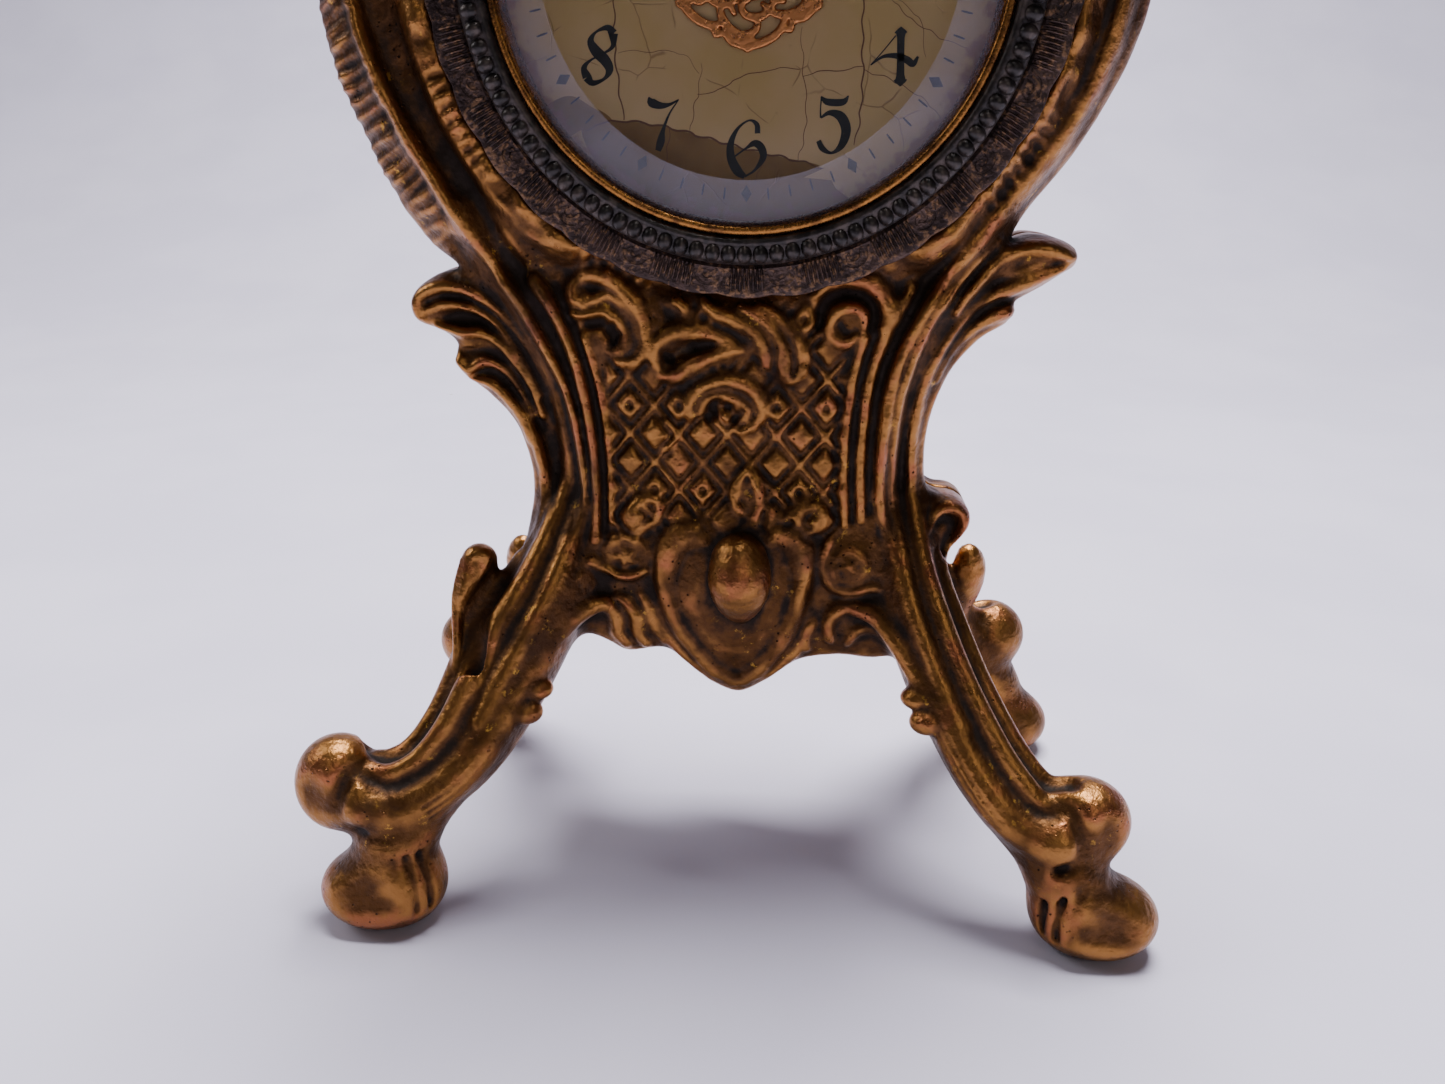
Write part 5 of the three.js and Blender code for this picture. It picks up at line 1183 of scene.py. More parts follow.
def floor_finish():
    """A pale matt board with a few faint marks."""
    f = Finish("pale board")
    cloud, fine = f.noise(60.0, 3), f.noise(2.0, 4)
    base = f.blend(cloud.between(0.35, 0.65), rgb(204, 200, 216), rgb(198, 194, 211))
    marks = f.cells(34.0).between(0.028, 0.016) * f.noise(20.0, 2).between(0.52, 0.6)
    base = f.blend(marks * 0.5, base, rgb(120, 104, 98))
    return f.surface(Base_Color=base, Roughness=0.6 + (fine - 0.5) * 0.1, Specular_IOR_Level=0.3)


# ------------------------------------------------------------------ what repeats round the dial
def round_array_tree():
    """Nodes that repeat the piece's own shape round an axis that runs front to back."""
    tree = bpy.data.node_groups.new("set round an axis", "GeometryNodeTree")
    for name, way, kind, value in (
        ("Geometry", "INPUT", "Geometry", None),
        ("Count", "INPUT", "Int", 60),
        ("Step", "INPUT", "Float", 0.1),
        ("First", "INPUT", "Float", 0.0),
        ("Axis X", "INPUT", "Float", 0.0),
        ("Axis Z", "INPUT", "Float", DIAL_Z * MM),
        ("Finish", "INPUT", "Material", None),
        ("Geometry", "OUTPUT", "Geometry", None),
    ):
        socket = tree.interface.new_socket(name, in_out=way, socket_type="NodeSocket" + kind)
        if value is not None:
            socket.default_value = value
    nodes = {name: tree.nodes.new(kind) for name, kind in (
        ("given", "NodeGroupInput"), ("made", "NodeGroupOutput"), ("dots", "GeometryNodePoints"),
        ("index", "GeometryNodeInputIndex"), ("angle", "ShaderNodeMath"), ("total", "ShaderNodeMath"),
        ("turn", "ShaderNodeCombineXYZ"), ("place", "ShaderNodeCombineXYZ"),
        ("copies", "GeometryNodeInstanceOnPoints"), ("real", "GeometryNodeRealizeInstances"),
        ("paint", "GeometryNodeSetMaterial"))}
    nodes["angle"].operation = "MULTIPLY"
    nodes["total"].operation = "ADD"
    for start, output, end, entry in (
        ("given", "Count", "dots", "Count"), ("given", "Axis X", "place", "X"),
        ("given", "Axis Z", "place", "Z"), ("place", 0, "dots", "Position"),
        ("index", 0, "angle", 0), ("given", "Step", "angle", 1),
        ("angle", 0, "total", 0), ("given", "First", "total", 1), ("total", 0, "turn", "Y"),
        ("dots", 0, "copies", "Points"), ("given", "Geometry", "copies", "Instance"),
        ("turn", 0, "copies", "Rotation"), ("copies", 0, "real", 0), ("real", 0, "paint", "Geometry"),
        ("given", "Finish", "paint", "Material"), ("paint", 0, "made", 0),
    ):
        tree.links.new(nodes[start].outputs[output], nodes[end].inputs[entry])
    return tree


def set_round(piece, material, count, step=None, first=0.0, axis=(0, DIAL_Z)):
    """Repeats a piece, made as if the axis were the origin, round that axis; gives one plain mesh."""
    tree = bpy.data.node_groups.get("set round an axis") or round_array_tree()
    rows = piece.modifiers.new("round", "NODES")
    rows.node_group = tree
    sockets = {item.name: item.identifier for item in tree.interface.items_tree if item.in_out == "INPUT"}
    values = {"Count": count, "Step": math.tau / count if step is None else step, "First": first,
              "Axis X": axis[0] * MM, "Axis Z": axis[1] * MM}
    for name, value in values.items():
        rows[sockets[name]] = value
    rows[sockets["Finish"]] = material
    plain_mesh(piece)
    return piece


def swung(x, z, angle, centre=(0, DIAL_Z)):
    """The place (x, z) of a shape turned clockwise, as the front shows it, and set at a centre."""
    return (centre[0] + x * math.cos(angle) + z * math.sin(angle),
            centre[1] - x * math.sin(angle) + z * math.cos(angle))


def joined(pieces, name):
    """Several mesh pieces as one, keeping their materials."""
    with bpy.context.temp_override(active_object=pieces[0], selected_editable_objects=pieces):
        bpy.ops.object.join()
    pieces[0].name = pieces[0].data.name = name
    return pieces[0]


def drop_shape(centre, size, rings=6, sides=10):
    """A small rounded button that stands towards the front, closed at its back."""
    places, faces = [(centre[0], centre[1] - size[1], centre[2])], []
    for k in range(1, rings + 1):
        lean = math.pi / 2 * k / rings
        for s in range(sides):
            turn = math.tau * s / sides
            places.append((centre[0] + size[0] * math.sin(lean) * math.cos(turn),
                           centre[1] - size[1] * math.cos(lean),
                           centre[2] + size[2] * math.sin(lean) * math.sin(turn)))
    for s in range(sides):
        n = (s + 1) % sides
        faces.append((0, 1 + s, 1 + n))
        for k in range(rings - 1):
            a, b = 1 + k * sides, 1 + (k + 1) * sides
            faces.append((a + s, b + s, b + n, a + n))
    last = 1 + (rings - 1) * sides
    faces.append(tuple(last + s for s in range(sides)))
    return places, faces


def finished(piece, material, body, slot, *nodes):
    """Gives a piece its finish, its body and the CAD nodes it stands for. The slot argument is not used."""
    if signed_volume(piece.data) < 0:
        piece.data.flip_normals()
    piece.data.materials.clear()
    piece.data.materials.append(material)
    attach(piece, body)
    if nodes:
        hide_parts(*nodes)
    return piece


def strips(name, strokes, front, back):
    """Pen strokes as thin raised strips: each is points (x, z, half width)."""
    places, faces = [], []
    for points in strokes:
        line = smooth_line(points, 0.22)
        flow = np.gradient(line[:, :2], axis=0)
        flow /= np.linalg.norm(flow, axis=1)[:, None] + 1e-9
        side = np.stack([-flow[:, 1], flow[:, 0]], 1) * line[:, 2:3]
        first, count = len(places), len(line)
        for (ax, az), (bx, bz) in zip(line[:, :2] + side, line[:, :2] - side):
            places += [(ax, front, az), (bx, front, bz), (bx, back, bz), (ax, back, az)]
        for k in range(count - 1):
            a, b = first + 4 * k, first + 4 * k + 4
            for i in range(4):
                j = (i + 1) % 4
                faces.append((a + i, a + j, b + j, b + i))
        faces.append(tuple(first + i for i in (3, 2, 1, 0)))
        faces.append(tuple(first + 4 * (count - 1) + i for i in range(4)))
    return mesh_piece(name, places, faces, smooth=False)


# ------------------------------------------------------------------ glass, rings and dial
# The shell stamped between two groups of ribs, and one lobe of the dial's ornament.
# Each stroke's points are (sideways, out from the dial's middle, half width).
SHELL_STAMP = [
    [(-1.7, 30.2, .12), (-1.3, 31.6, .22), (0, 32.2, .26), (1.3, 31.6, .22), (1.7, 30.2, .12)],
    [(-0.9, 30.1, .1), (-0.6, 31.1, .2), (0.2, 31.4, .2), (0.8, 30.9, .18), (0.5, 30.3, .1)],
    [(-2.5, 31.9, .1), (-2.2, 30.9, .18), (-2.5, 30.1, .1)],
    [(2.5, 31.9, .1), (2.2, 30.9, .18), (2.5, 30.1, .1)],
]
ORNAMENT_LOBE = [
    [(-2.6, 3.1, .3), (-2.2, 4.4, .42), (-1, 5.2, .46), (.4, 5, .42), (.8, 4.1, .36), (.1, 3.7, .3)],
    [(2.8, 3.2, .3), (2.9, 4.8, .42), (2, 6.2, .48), (.6, 6.9, .46), (-.7, 6.4, .42), (-.9, 5.6, .34)],
    [(-3.7, 5, .3), (-3.2, 6.4, .44), (-1.8, 7.4, .48), (0, 7.8, .5), (1.6, 7.5, .46), (2.4, 6.8, .36)],
    [(-3.4, 6.2, .3), (-4.2, 6.3, .4), (-4.4, 5.5, .36)],
    [(-.2, 7.3, .5), (0, 8, .5), (.2, 8.1, .4)],
    [(1.3, 3.3, .3), (1.9, 4, .36), (1.5, 4.9, .3)],
]


def flange_edge(r, angle):
    """The flange's radius at an angle: its rim is scalloped and not quite round."""
    if r < 32:
        return r
    return r + 0.32 * abs(math.sin(17 * angle)) + 0.10 * math.sin(5 * angle + 1)


def make_rings(sizes, finishes):
    """The stamped flange, the beaded bezel, the glass ring, the glass and the ring behind it."""
    section = [(29.5, -11.5), (29.5, -12.1), (29.9, -12.3), (30.4, -12.2), (31.2, -12.24), (32.0, -12.28),
               (32.5, -12.34), (32.7, -12.26), (32.8, -12.05), (32.7, -11.9), (32.5, -11.85), (32.3, -11.5)]
    flange = turned_piece("dial_surround_stamped", section, 408, radius=flange_edge)
    dark = finishes["dark_bronze"]
    ribs, shells = [], []
    rib_pitch = 0.0152
    groups = sizes.rib_groups
    for k in range(groups):
        rib = mesh_piece("rib", *drop_shape((0, -12.16, 31.0), (0.19, 0.5, 1.5), 4, 8))
        each = 8 + (k * 5) % 3
        set_round(rib, dark, each, rib_pitch, math.tau * k / groups - rib_pitch * each / 2)
        ribs.append(rib)
        middle = math.tau * (k + 0.5) / groups
        shells += [[(*swung(x, z, middle), w) for x, z, w in stroke] for stroke in SHELL_STAMP]
    stamps = strips("stamps", shells, -12.42, -12.0)
    stamps.data.materials.append(dark)
    flange.data.materials.append(dark)
    flange = joined([flange, stamps] + ribs, "dial_surround_stamped")
    finished(flange, dark, "case", "dark_bronze", "dial_surround")

    bezel = turned_piece("bezel_body", rounded([
        (26.15, -11.4), (26.15, -13.15), (26.4, -13.3), (26.6, -13.85), (26.95, -14.15), (27.3, -14.1),
        (27.6, -13.9), (28.9, -13.75), (29.2, -13.5), (29.4, -13.2), (29.4, -11.4)], 0.14))
    finished(bezel, finishes["beads"], "case", "dark_bronze", "bezel")
    beads = mesh_piece("bezel_beads", *drop_shape((0, -13.3, 28.25), (0.92, 1.3, 1.12), 6, 14))
    set_round(beads, finishes["beads"], sizes.beads)
    smooth_but_sharp(beads, 60)
    finished(beads, finishes["beads"], "case", "dark_bronze", "bezel")

    ring = turned_piece("glass_ring_turned", rounded([
        (25.4, -13.35), (25.45, -13.75), (25.65, -13.95), (26.0, -13.95), (26.25, -13.8), (26.4, -13.5),
        (26.4, -13.35)], 0.1))
    finished(ring, finishes["bright_gilt"], "case", "bright_gilt", "glass_ring")
    section = [(0, -11.5), (0, -13.2), (20.75, -13.2), (20.85, -13.19), (25.9, -12.53), (26, -12.45),
               (26, -11.5)]
    pane = turned_piece("glass_pane", section, 256, crease=5)
    finished(pane, finishes["glass"], "case", "bevelled_glass", "glass")
    bevel = turned_piece("glass_bevel_haze", [
        (20.8, -13.22), (25.4, -12.63), (25.4, -12.61), (20.8, -13.205)], 200, crease=60)
    finished(bevel, finishes["haze"], "case", "bevelled_glass")
    inner = turned_piece("reflector_ring_spun", rounded([
        (25.6, -11.35), (26.9, -11.35), (26.9, -8.75), (24.9, -8.75), (25.1, -9.6)], 0.1))
    finished(inner, finishes["bright_gilt"], "case", "bright_gilt", "reflector_ring")


DIGITS = {
    "0": [[(0, 2.8, .15), (-1.15, 1.3, .45), (-1.2, -1.2, .48), (0, -2.8, .15)],
          [(0, 2.8, .15), (1.2, 1.2, .48), (1.15, -1.3, .45), (0, -2.8, .15)]],
    "1": [[(.1, 2.5, .05), (.1, 2, .5), (.1, 1.4, .36), (.1, -1.6, .36), (.1, -2.2, .55), (.1, -2.8, .05)],
          [(-1.1, 1.2, .06), (-.5, 1.8, .16), (.1, 2.3, .2)]],
    "2": [[(-1.2, 1.3, .34), (-.8, 2.3, .2), (.3, 2.7, .22), (1.2, 1.8, .5), (.9, .4, .4),
           (-.4, -1.1, .14), (-1.4, -2.3, .1)], [(-1.5, -2.4, .12), (-.6, -2.1, .34), (.6, -2.4, .36),
                                                 (1.5, -2, .1)]],
    "3": [[(-1.2, 2.5, .1), (-.2, 2.2, .34), (1.3, 2.7, .1)], [(1.2, 2.6, .08), (.1, .7, .1)],
          [(.1, .7, .1), (1.1, .3, .34), (1.4, -1, .5), (.7, -2.4, .36), (-.4, -2.7, .14), (-1.3, -2, .34)]],
    "4": [[(.2, 2.9, .04), (.2, 2.35, .66), (.2, 1.9, .4), (.2, -1.7, .42), (.2, -2.2, .7), (.2, -2.8, .04)],
          [(-.3, 2.1, .07), (-1.6, .7, .06), (-2.9, -.6, .06)],
          [(-2.9, -.6, .05), (-1.6, .15, .16), (-.2, .15, .28), (.9, -.3, .36), (1.5, -.7, .3), (2, 0, .12)]],
    "5": [[(-1.3, 2.8, .08), (-.7, 2.3, .32), (.5, 2.2, .36), (1.2, 2.35, .3), (1.6, 2.9, .06)],
          [(-1.25, 2.7, .08), (-1.3, 1.6, .07), (-1.25, .7, .1)],
          [(-1.25, .7, .1), (-.3, 1.2, .26), (.9, .8, .5), (1.5, -.5, .52), (1.1, -2, .38),
           (.1, -2.8, .14), (-.9, -2.4, .3), (-1.4, -1.6, .26)]],
    "6": [[(1.1, 1.5, .3), (1.0, 2.4, .26), (.2, 2.8, .1), (-1, 2, .16), (-1.75, .5, .34), (-1.7, -1, .46),
           (-1, -2.3, .5), (-.2, -2.9, .26)],
          [(-.2, -2.9, .1), (.9, -2.2, .14), (1.75, -.9, .36), (1.5, .1, .42), (.8, .5, .34),
           (-.1, 0, .12), (-1.4, -.9, .08)]],
    "7": [[(-1.7, 2.5, .05), (-1.4, 2, .45), (-.4, 1.75, .34), (.6, 1.95, .16), (1.5, 2.5, .06)],
          [(1.5, 2.5, .06), (.6, 1, .1), (.05, -.6, .2), (-.15, -1.8, .42), (-.4, -2.8, .3)]],
    "8": [[(.9, 2.4, .5), (.2, 2.8, .3), (-.9, 2.1, .12), (-1.25, 1.1, .36), (-.5, .3, .55),
           (.6, -.3, .55), (1.25, -1.1, .42), (.9, -2.1, .16), (-.2, -2.8, .3), (-.9, -2.4, .5)],
          [(-.9, -2.4, .5), (-1.4, -1.6, .3), (-.9, -.7, .12), (.2, .2, .1), (1.1, 1.2, .22), (.9, 2.4, .5)]],
}
NUMERAL_LEAN = {8: 14, 4: -3, 7: 4, 9: 6, 10: 4, 3: -4}
CRACKS = [
    [(-13.7, 104, .05), (-13.8, 99, .08), (-13.5, 95, .08), (-13, 91.3, .06)],
    [(11.2, 108, .05), (11.6, 99, .08), (11.8, 95, .08), (11.6, 91, .07), (11.1, 89, .04)],
    [(-17, 90.4, .06), (-14.6, 91.2, .09), (-12, 91.2, .1), (-8, 90.6, .1), (-4, 89.6, .1), (0, 88.6, .09),
     (4, 87.8, .09), (8.1, 86.9, .05)],
    [(-6, 90.3, .03), (-5.6, 92.6, .04), (-5.1, 94.4, .03), (-4.8, 97, .02)],
    [(-5.3, 94, .03), (-3, 94.3, .045), (-.4, 95.7, .045), (2, 96.3, .04), (5.4, 96.5, .04)],
    [(5.3, 100.4, .02), (5.7, 96, .04), (6.1, 93, .04), (6, 90, .04), (5.4, 87.5, .03)],
    [(5.7, 95.8, .03), (8, 96.2, .05), (11.7, 96.6, .04)],
    [(11.8, 96.3, .03), (14, 95.7, .04), (17.2, 94.2, .03), (20, 92, .02)],
    [(-13.5, 97.9, .02), (-10, 98, .03), (-6.6, 97.7, .02), (-5, 95.8, .02)],
    [(-8.2, 90.6, .03), (-8.4, 88.6, .04), (-8.9, 86, .03)],
    [(13, 104, .02), (16, 101.4, .035), (19.4, 99.4, .03), (22, 98.6, .02)],
    [(15, 103, .02), (17.4, 100.6, .03), (18, 97.6, .02)],
    [(-21, 112, .02), (-16, 113.6, .04), (-9, 112.6, .04), (-4, 115, .03)],
    [(4, 113, .03), (6.4, 118, .04), (6, 124, .04), (7.6, 129, .03)],
    [(-9, 112.6, .03), (-10.4, 118, .04), (-9.4, 125, .04)],
    [(11.3, 108, .04), (15, 112, .04), (20, 113.4, .03)],
    [(1.6, 87.9, .03), (1.4, 86.6, .03), (.6, 85, .02)],
]
BROKEN_SEGMENT = [(-17.4, 90.4), (-14.6, 91.2), (-12, 91.2), (-8, 90.6), (-4, 89.6), (0, 88.6), (4, 87.8),
                  (8.1, 86.9), (9.4, 85), (11.6, 82.8), (6, 80.9), (0, 80.3), (-6, 80.9), (-11, 82.8),
                  (-15, 85.8)]
STAINED_WEDGE = [(-18.7, 93.8), (-16.2, 92.7), (-14.3, 91.4), (-16.2, 91), (-17.6, 90.4), (-19.8, 89.6),
                 (-21.4, 92.2)]
CHIP = [(6, 86), (8.2, 87), (10, 87.6), (11.9, 89), (12.2, 88.5), (11.4, 86.8), (10.9, 85.5), (8.4, 85.8)]


def make_dial(sizes, finishes):
    """The dial: its face, stain and cracks, the numerals and the minute track."""
    section = [(2.4, DIAL_FACE), (26.2, DIAL_FACE), (26.2, -8.05), (2.4, -8.05)]
    face = turned_piece("dial_face", rounded(section, 0.08))
    finished(face, finishes["dial"], "case", "dial_enamel", "dial")
    for name, outline, finish, front, worn in (
        ("dial_broken_segment", BROKEN_SEGMENT, "tan_dial", -8.615, True),
        ("dial_stained_wedge", STAINED_WEDGE, "tan_dial", -8.612, True),
        ("dial_chip", CHIP, "dial", -8.64, False),
    ):
        if worn:
            outline = [tuple(p) for p in closed_line([(x, z, 0) for x, z in outline], 0.4)[:, :2]]
        patch = plate_piece(name, [outline], front, -8.55)
        finished(patch, finishes[finish], "case", "dial_enamel")
    lines = []
    for k, points in enumerate(CRACKS):
        line = smooth_line(points, 0.7)
        x, z = line[:, 0].copy(), line[:, 1].copy()
        line[:, 0] += 0.12 * np.sin(3.1 * x + 2.3 * z + k)
        line[:, 1] += 0.12 * np.cos(2.7 * z - 1.9 * x + k)
        lines.append(line)
    cracks = strips("dial_cracks", lines, -8.62, INK_FOOT)
    finished(cracks, finishes["crack"], "case", "dial_enamel")

    strokes = []
    for hour in range(1, 13):
        angle = math.radians(30 * hour)
        middle = swung(0, sizes.numeral_radius, angle)
        word = str(hour)
        size = 0.98 if len(word) == 1 else 0.86
        lean = math.radians(NUMERAL_LEAN.get(hour, 0))
        for place, digit in enumerate(word):
            shapes = DIGITS["6"] if digit == "9" else DIGITS[digit]
            flip = -1 if digit == "9" else 1
            shift = (place - (len(word) - 1) / 2) * 2.9
            for stroke in shapes:
                placed = []
                for x, z, w in stroke:
                    placed.append((*swung(flip * x * size + shift, flip * z * size, lean, middle), w * size))
                strokes.append(placed)
    numerals = strips("dial_numerals", strokes, DIAL_INK, INK_FOOT)
    finished(numerals, finishes["ink"], "case", "dial_enamel")

    tick = strips("dial_minutes", [[(0, 21.6, .07), (0, 22.2, .1), (0, 22.8, .07)]], DIAL_INK, INK_FOOT)
    set_round(tick, finishes["ink"], 60)
    finished(tick, finishes["ink"], "case", "dial_enamel")
    diamond = plate_piece("dial_five_minutes", [[(0, 21.2), (.55, 22.1), (0, 23), (-.55, 22.1)]],
                          DIAL_INK - 0.01, INK_FOOT)
    set_round(diamond, finishes["ink"], 12)
    finished(diamond, finishes["ink"], "case", "dial_enamel")


def make_ornament(finishes):
    """The pierced gilt ornament at the dial's centre: scrolls round an open ring."""
    step = 0.15
    clay = Clay((-9.2, -9.9, DIAL_Z - 9.2), (9.2, -8.2, DIAL_Z + 9.2), step)
    lobes = 6
    for k in range(lobes):
        turn = math.tau * k / lobes
        for stroke in ORNAMENT_LOBE:
            line = []
            for x, z, w in stroke:
                across, up = swung(x, z, turn)
                line.append((across, -9.02 - 0.02 * k, up, w))
            clay.join(*clay.rope(line, 0.3), 0.16)
    cuts, x, y, z = clay.window((-5, -9.9, DIAL_Z - 5), (5, -8.2, DIAL_Z + 5))
    ring = np.hypot(np.hypot(x, z - DIAL_Z) - 3.4, y + 9.0) - 0.36
    clay.join(cuts, ring, 0.15)
    y = clay.axes[1][None, :, None]
    clay.field = np.maximum(clay.field, np.maximum(y + 8.72, -9.32 - y)).astype(np.float32)
    piece = clay.skin("dial_ornament_pierced", SMALL_TRIANGLES)
    finished(piece, finishes["copper_gilt"], "case", "bright_gilt", "dial_ornament")


# ------------------------------------------------------------------ the back: cover, key, knob and screws
def make_back_pieces(sizes, finishes):
    """The drum with its cover, the key, the hand-setting knob, the clips and the screws."""
    brass = finishes["brass"]
    drum = turned_piece("drum_spun", rounded([
        (27.1, -11.3), (32.4, -11.3), (32.4, -10.85), (27.7, -10.85), (27.7, 14.0), (27.1, 14.0)], 0.1))
    finished(drum, brass, "case", "brass", "drum")
    cover = turned_piece("drum_cover_pressed", [
        (0, 14.1), (27.2, 14.1), (27.6, 13.8), (27.8, 13.4), (27.8, 11.4), (28.2, 11.4), (28.2, 13.7),
        (28.05, 14.2), (27.7, 14.5), (27.2, 14.62), (25.4, 14.6), (24.9, 14.5), (24.4, 14.6), (0, 14.6)], 192)
    cutters = [turned_piece("cutter", [(0, 10), (1.0, 10), (1.0, 20), (0, 20)], 48),
               turned_piece("cutter", [(0, 10), (2.0, 10), (2.0, 20), (0, 20)], 64, WINDING_AXIS)]
    half = math.radians(27)
    arc = []
    for r, start in ((9.8, -half), (8.2, half)):
        arc += [(BALANCE_AXIS[0] + r * math.cos(a), BALANCE_AXIS[1] + r * math.sin(a))
                for a in np.linspace(start, -start, 25)]
    cutters.append(plate_piece("cutter", [arc], 10, 20))
    cut_from(cover, cutters, 30)
    finished(cover, brass, "case", "brass", "drum_cover")

    make_key(finishes)
    knob = turned_piece("set_knob_core", [
        (0, 15), (3.2, 15), (3.55, 15.2), (3.7, 15.4), (3.7, 17.7), (3.55, 17.95), (3.1, 18.2),
        (2.6, 18.3), (1.6, 18.15), (1.2, 18.3), (0, 18.35)], 96)
    ridge = mesh_piece("ridge", *drop_shape((0, 0, 0), (0.16, 0.3, 1.25), 3, 6))
    ridge.data.transform(Matrix.Rotation(math.radians(90), 4, "X"))
    ridge.data.transform(Matrix.Translation(Vector((0, 16.55, 3.66)) * MM) @ Matrix.Rotation(math.pi, 4, "Y"))
    set_round(ridge, brass, sizes.knurls)
    knob.data.materials.append(brass)
    knob = joined([knob, ridge], "set_knob_knurled")
    finished(knob, brass, "hand_work", "brass", "set_knob")

    for name, px, pz, seat, shank, head, high, tip, angle, finish in (
        ("case_screw_top", *CASE_SCREWS[0], 1.2, 2.4, 1.4, -3.6, 30, "brass"),
        ("case_screw_left", *CASE_SCREWS[1], 1.2, 2.4, 1.4, -6.6, -10, "brass"),
        ("case_screw_right", *CASE_SCREWS[2], 1.2, 2.4, 1.4, -6.6, 67, "brass"),
        ("clip_screw_left", -CLIP_SCREW_X, DIAL_Z, 11.35, 1.0, 1.9, 1.1, 8, -20, "steel"),
        ("clip_screw_right", CLIP_SCREW_X, DIAL_Z, 11.35, 1.0, 1.9, 1.1, 8, 20, "steel"),
    ):
        screw = screw_piece(name + "_turned", px, pz, seat + 0.1, shank, head, high, tip, angle)
        finished(screw, finishes[finish], "case", finish, name)


def cut_from(piece, cutters, crease):
    """Cuts the cutters' shapes out of a piece and removes them, then sets which edges stay sharp."""
    for cutter in cutters:
        if signed_volume(cutter.data) < 0:
            cutter.data.flip_normals()
        cut = piece.modifiers.new("cut", "BOOLEAN")
        cut.object = cutter
        cut.operation = "DIFFERENCE"
        cut.solver = "EXACT"
    plain_mesh(piece)
    for cutter in cutters:
        bpy.data.objects.remove(cutter)
    smooth_but_sharp(piece, crease)
    return piece


def screw_piece(name, px, pz, head_y, shank, head, high, tip, degrees):
    """A cheese-head screw with a domed, slotted head."""
    top = head_y + high
    body = turned_piece(name, [
        (0, tip), (shank * 0.7, tip), (shank, tip + 0.5), (shank, head_y), (head - 0.1, head_y),
        (head, head_y + 0.12),
        (head, top - 0.35), (head - 0.15, top - 0.12), (head - 0.5, top - 0.02), (head * 0.5, top + 0.05),
        (0, top + 0.08)], 64, (px, pz))
    turn = math.radians(degrees)
    corners = [(-3, -.3), (3, -.3), (3, .3), (-3, .3)]
    slot = [swung(x, z, turn, (px, pz)) for x, z in corners]
    return cut_from(body, [plate_piece("cutter", [slot], top - 0.55, top + 1)], 32)


def make_key(finishes):
    """The double-wing winding key, cast in brass."""
    step = 0.18
    clay = Clay((-9.4, 14.9, -9.4), (9.4, 28.8, 9.4), step)
    x, y, z = clay.axes
    away = np.hypot(x[:, None], z[None, :])[:, None, :]
    along = y[None, :, None]
    barrel = np.maximum(away - (2.15 + 0.14 * ((along > 16.2) & (along < 16.8)) + 0.14 * ((along > 20.4))),
                        np.maximum(15.6 - along, along - 21.4))
    clay.join(np.s_[:, :, :], barrel.astype(np.float32))
    turn = math.radians(25)
    u = (x[:, None, None] * math.cos(turn) - z[None, None, :] * math.sin(turn))
    w = (x[:, None, None] * math.sin(turn) + z[None, None, :] * math.cos(turn))
    v = along - 19.7
    wings = np.minimum(np.hypot(u + 4.4, v - 5), np.hypot(u - 4.4, v - 5)) - 3.55
    web = np.maximum(np.abs(u) - 2.6, np.abs(v - 4.0) - 2.4)
    flat = np.minimum(wings, web) - np.maximum(0.8 - np.abs(wings - web), 0) ** 2 / 3.2
    holes = np.minimum(np.hypot(u + 4.6, v - 5), np.hypot(u - 4.6, v - 5)) - 1.5
    flat = np.maximum(flat, -holes)
    thick = np.abs(w) - 0.72
    bow = np.maximum(flat, thick) + np.maximum(0.5 - np.abs(flat - thick), 0) ** 2 / 2.0
    clay.join(np.s_[:, :, :], bow.astype(np.float32), 0.6)
    socket = np.maximum(np.maximum(np.abs(x)[:, None, None], np.abs(z)[None, None, :]) - 0.98, along - 18.3)
    clay.carve(np.s_[:, :, :], socket.astype(np.float32))
    key = clay.skin("winding_key_cast", SMALL_TRIANGLES)
    key.data.transform(Matrix.Translation(Vector((WINDING_AXIS[0], 0, WINDING_AXIS[1])) * MM))
    finished(key, finishes["brass"], "winding_body", "brass", "winding_key")


NODE_FINISHES = {
    "brass": [
        "drum_clip_left", "drum_clip_right", "front_plate", "back_plate", "pillar_1", "pillar_2", "pillar_3",
        "great_wheel", "centre_wheel", "third_wheel", "fourth_wheel", "escape_wheel", "minute_wheel",
        "hour_wheel", "click_spring", "friction_washer", "balance_wheel", "impulse_roller",
        "hairspring_collet", "hairspring_stud", "pallet_lever",
    ],
    "steel": [
        "pillar_nut_1", "pillar_nut_2", "pillar_nut_3", "minute_wheel_post", "balance_screw_front",
        "balance_screw_back", "hand_arbor", "cannon_pinion", "click_screw", "click", "winding_arbor",
        "ratchet_wheel", "mainspring", "balance_staff", "regulator",
    ],
    "blued_steel": ["hour_hand", "minute_hand", "hairspring"],
    "tin": ["dial_plate"],
}


def finish_movement(finishes):
    """Every part of the movement that keeps its own shape gets its metal's finish."""
    listed = {node for nodes in NODE_FINISHES.values() for node in nodes}
    for finish, nodes in NODE_FINISHES.items():
        for node in nodes:
            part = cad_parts[node]
            for slot in part.material_slots:
                slot.material = finishes[finish]
            if not part.material_slots:
                part.data.materials.append(finishes[finish])
    missed = [node for node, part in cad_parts.items() if node not in listed and not part.hide_render]
    if missed:
        raise RuntimeError("these parts have no finish: " + ", ".join(sorted(missed)))


def make_case(sizes, finishes):
    """The two gilt castings, sculpted as clay and skinned."""
    front = sculpt_front(sizes).skin("case_front_cast", FRONT_TRIANGLES)
    finished(front, finishes["gilt"], "case", "gilt_spelter", "case_front")
    back = sculpt_back(sizes).skin("case_back_cast", BACK_TRIANGLES)
    finished(back, finishes["gilt"], "case", "gilt_spelter", "case_back")


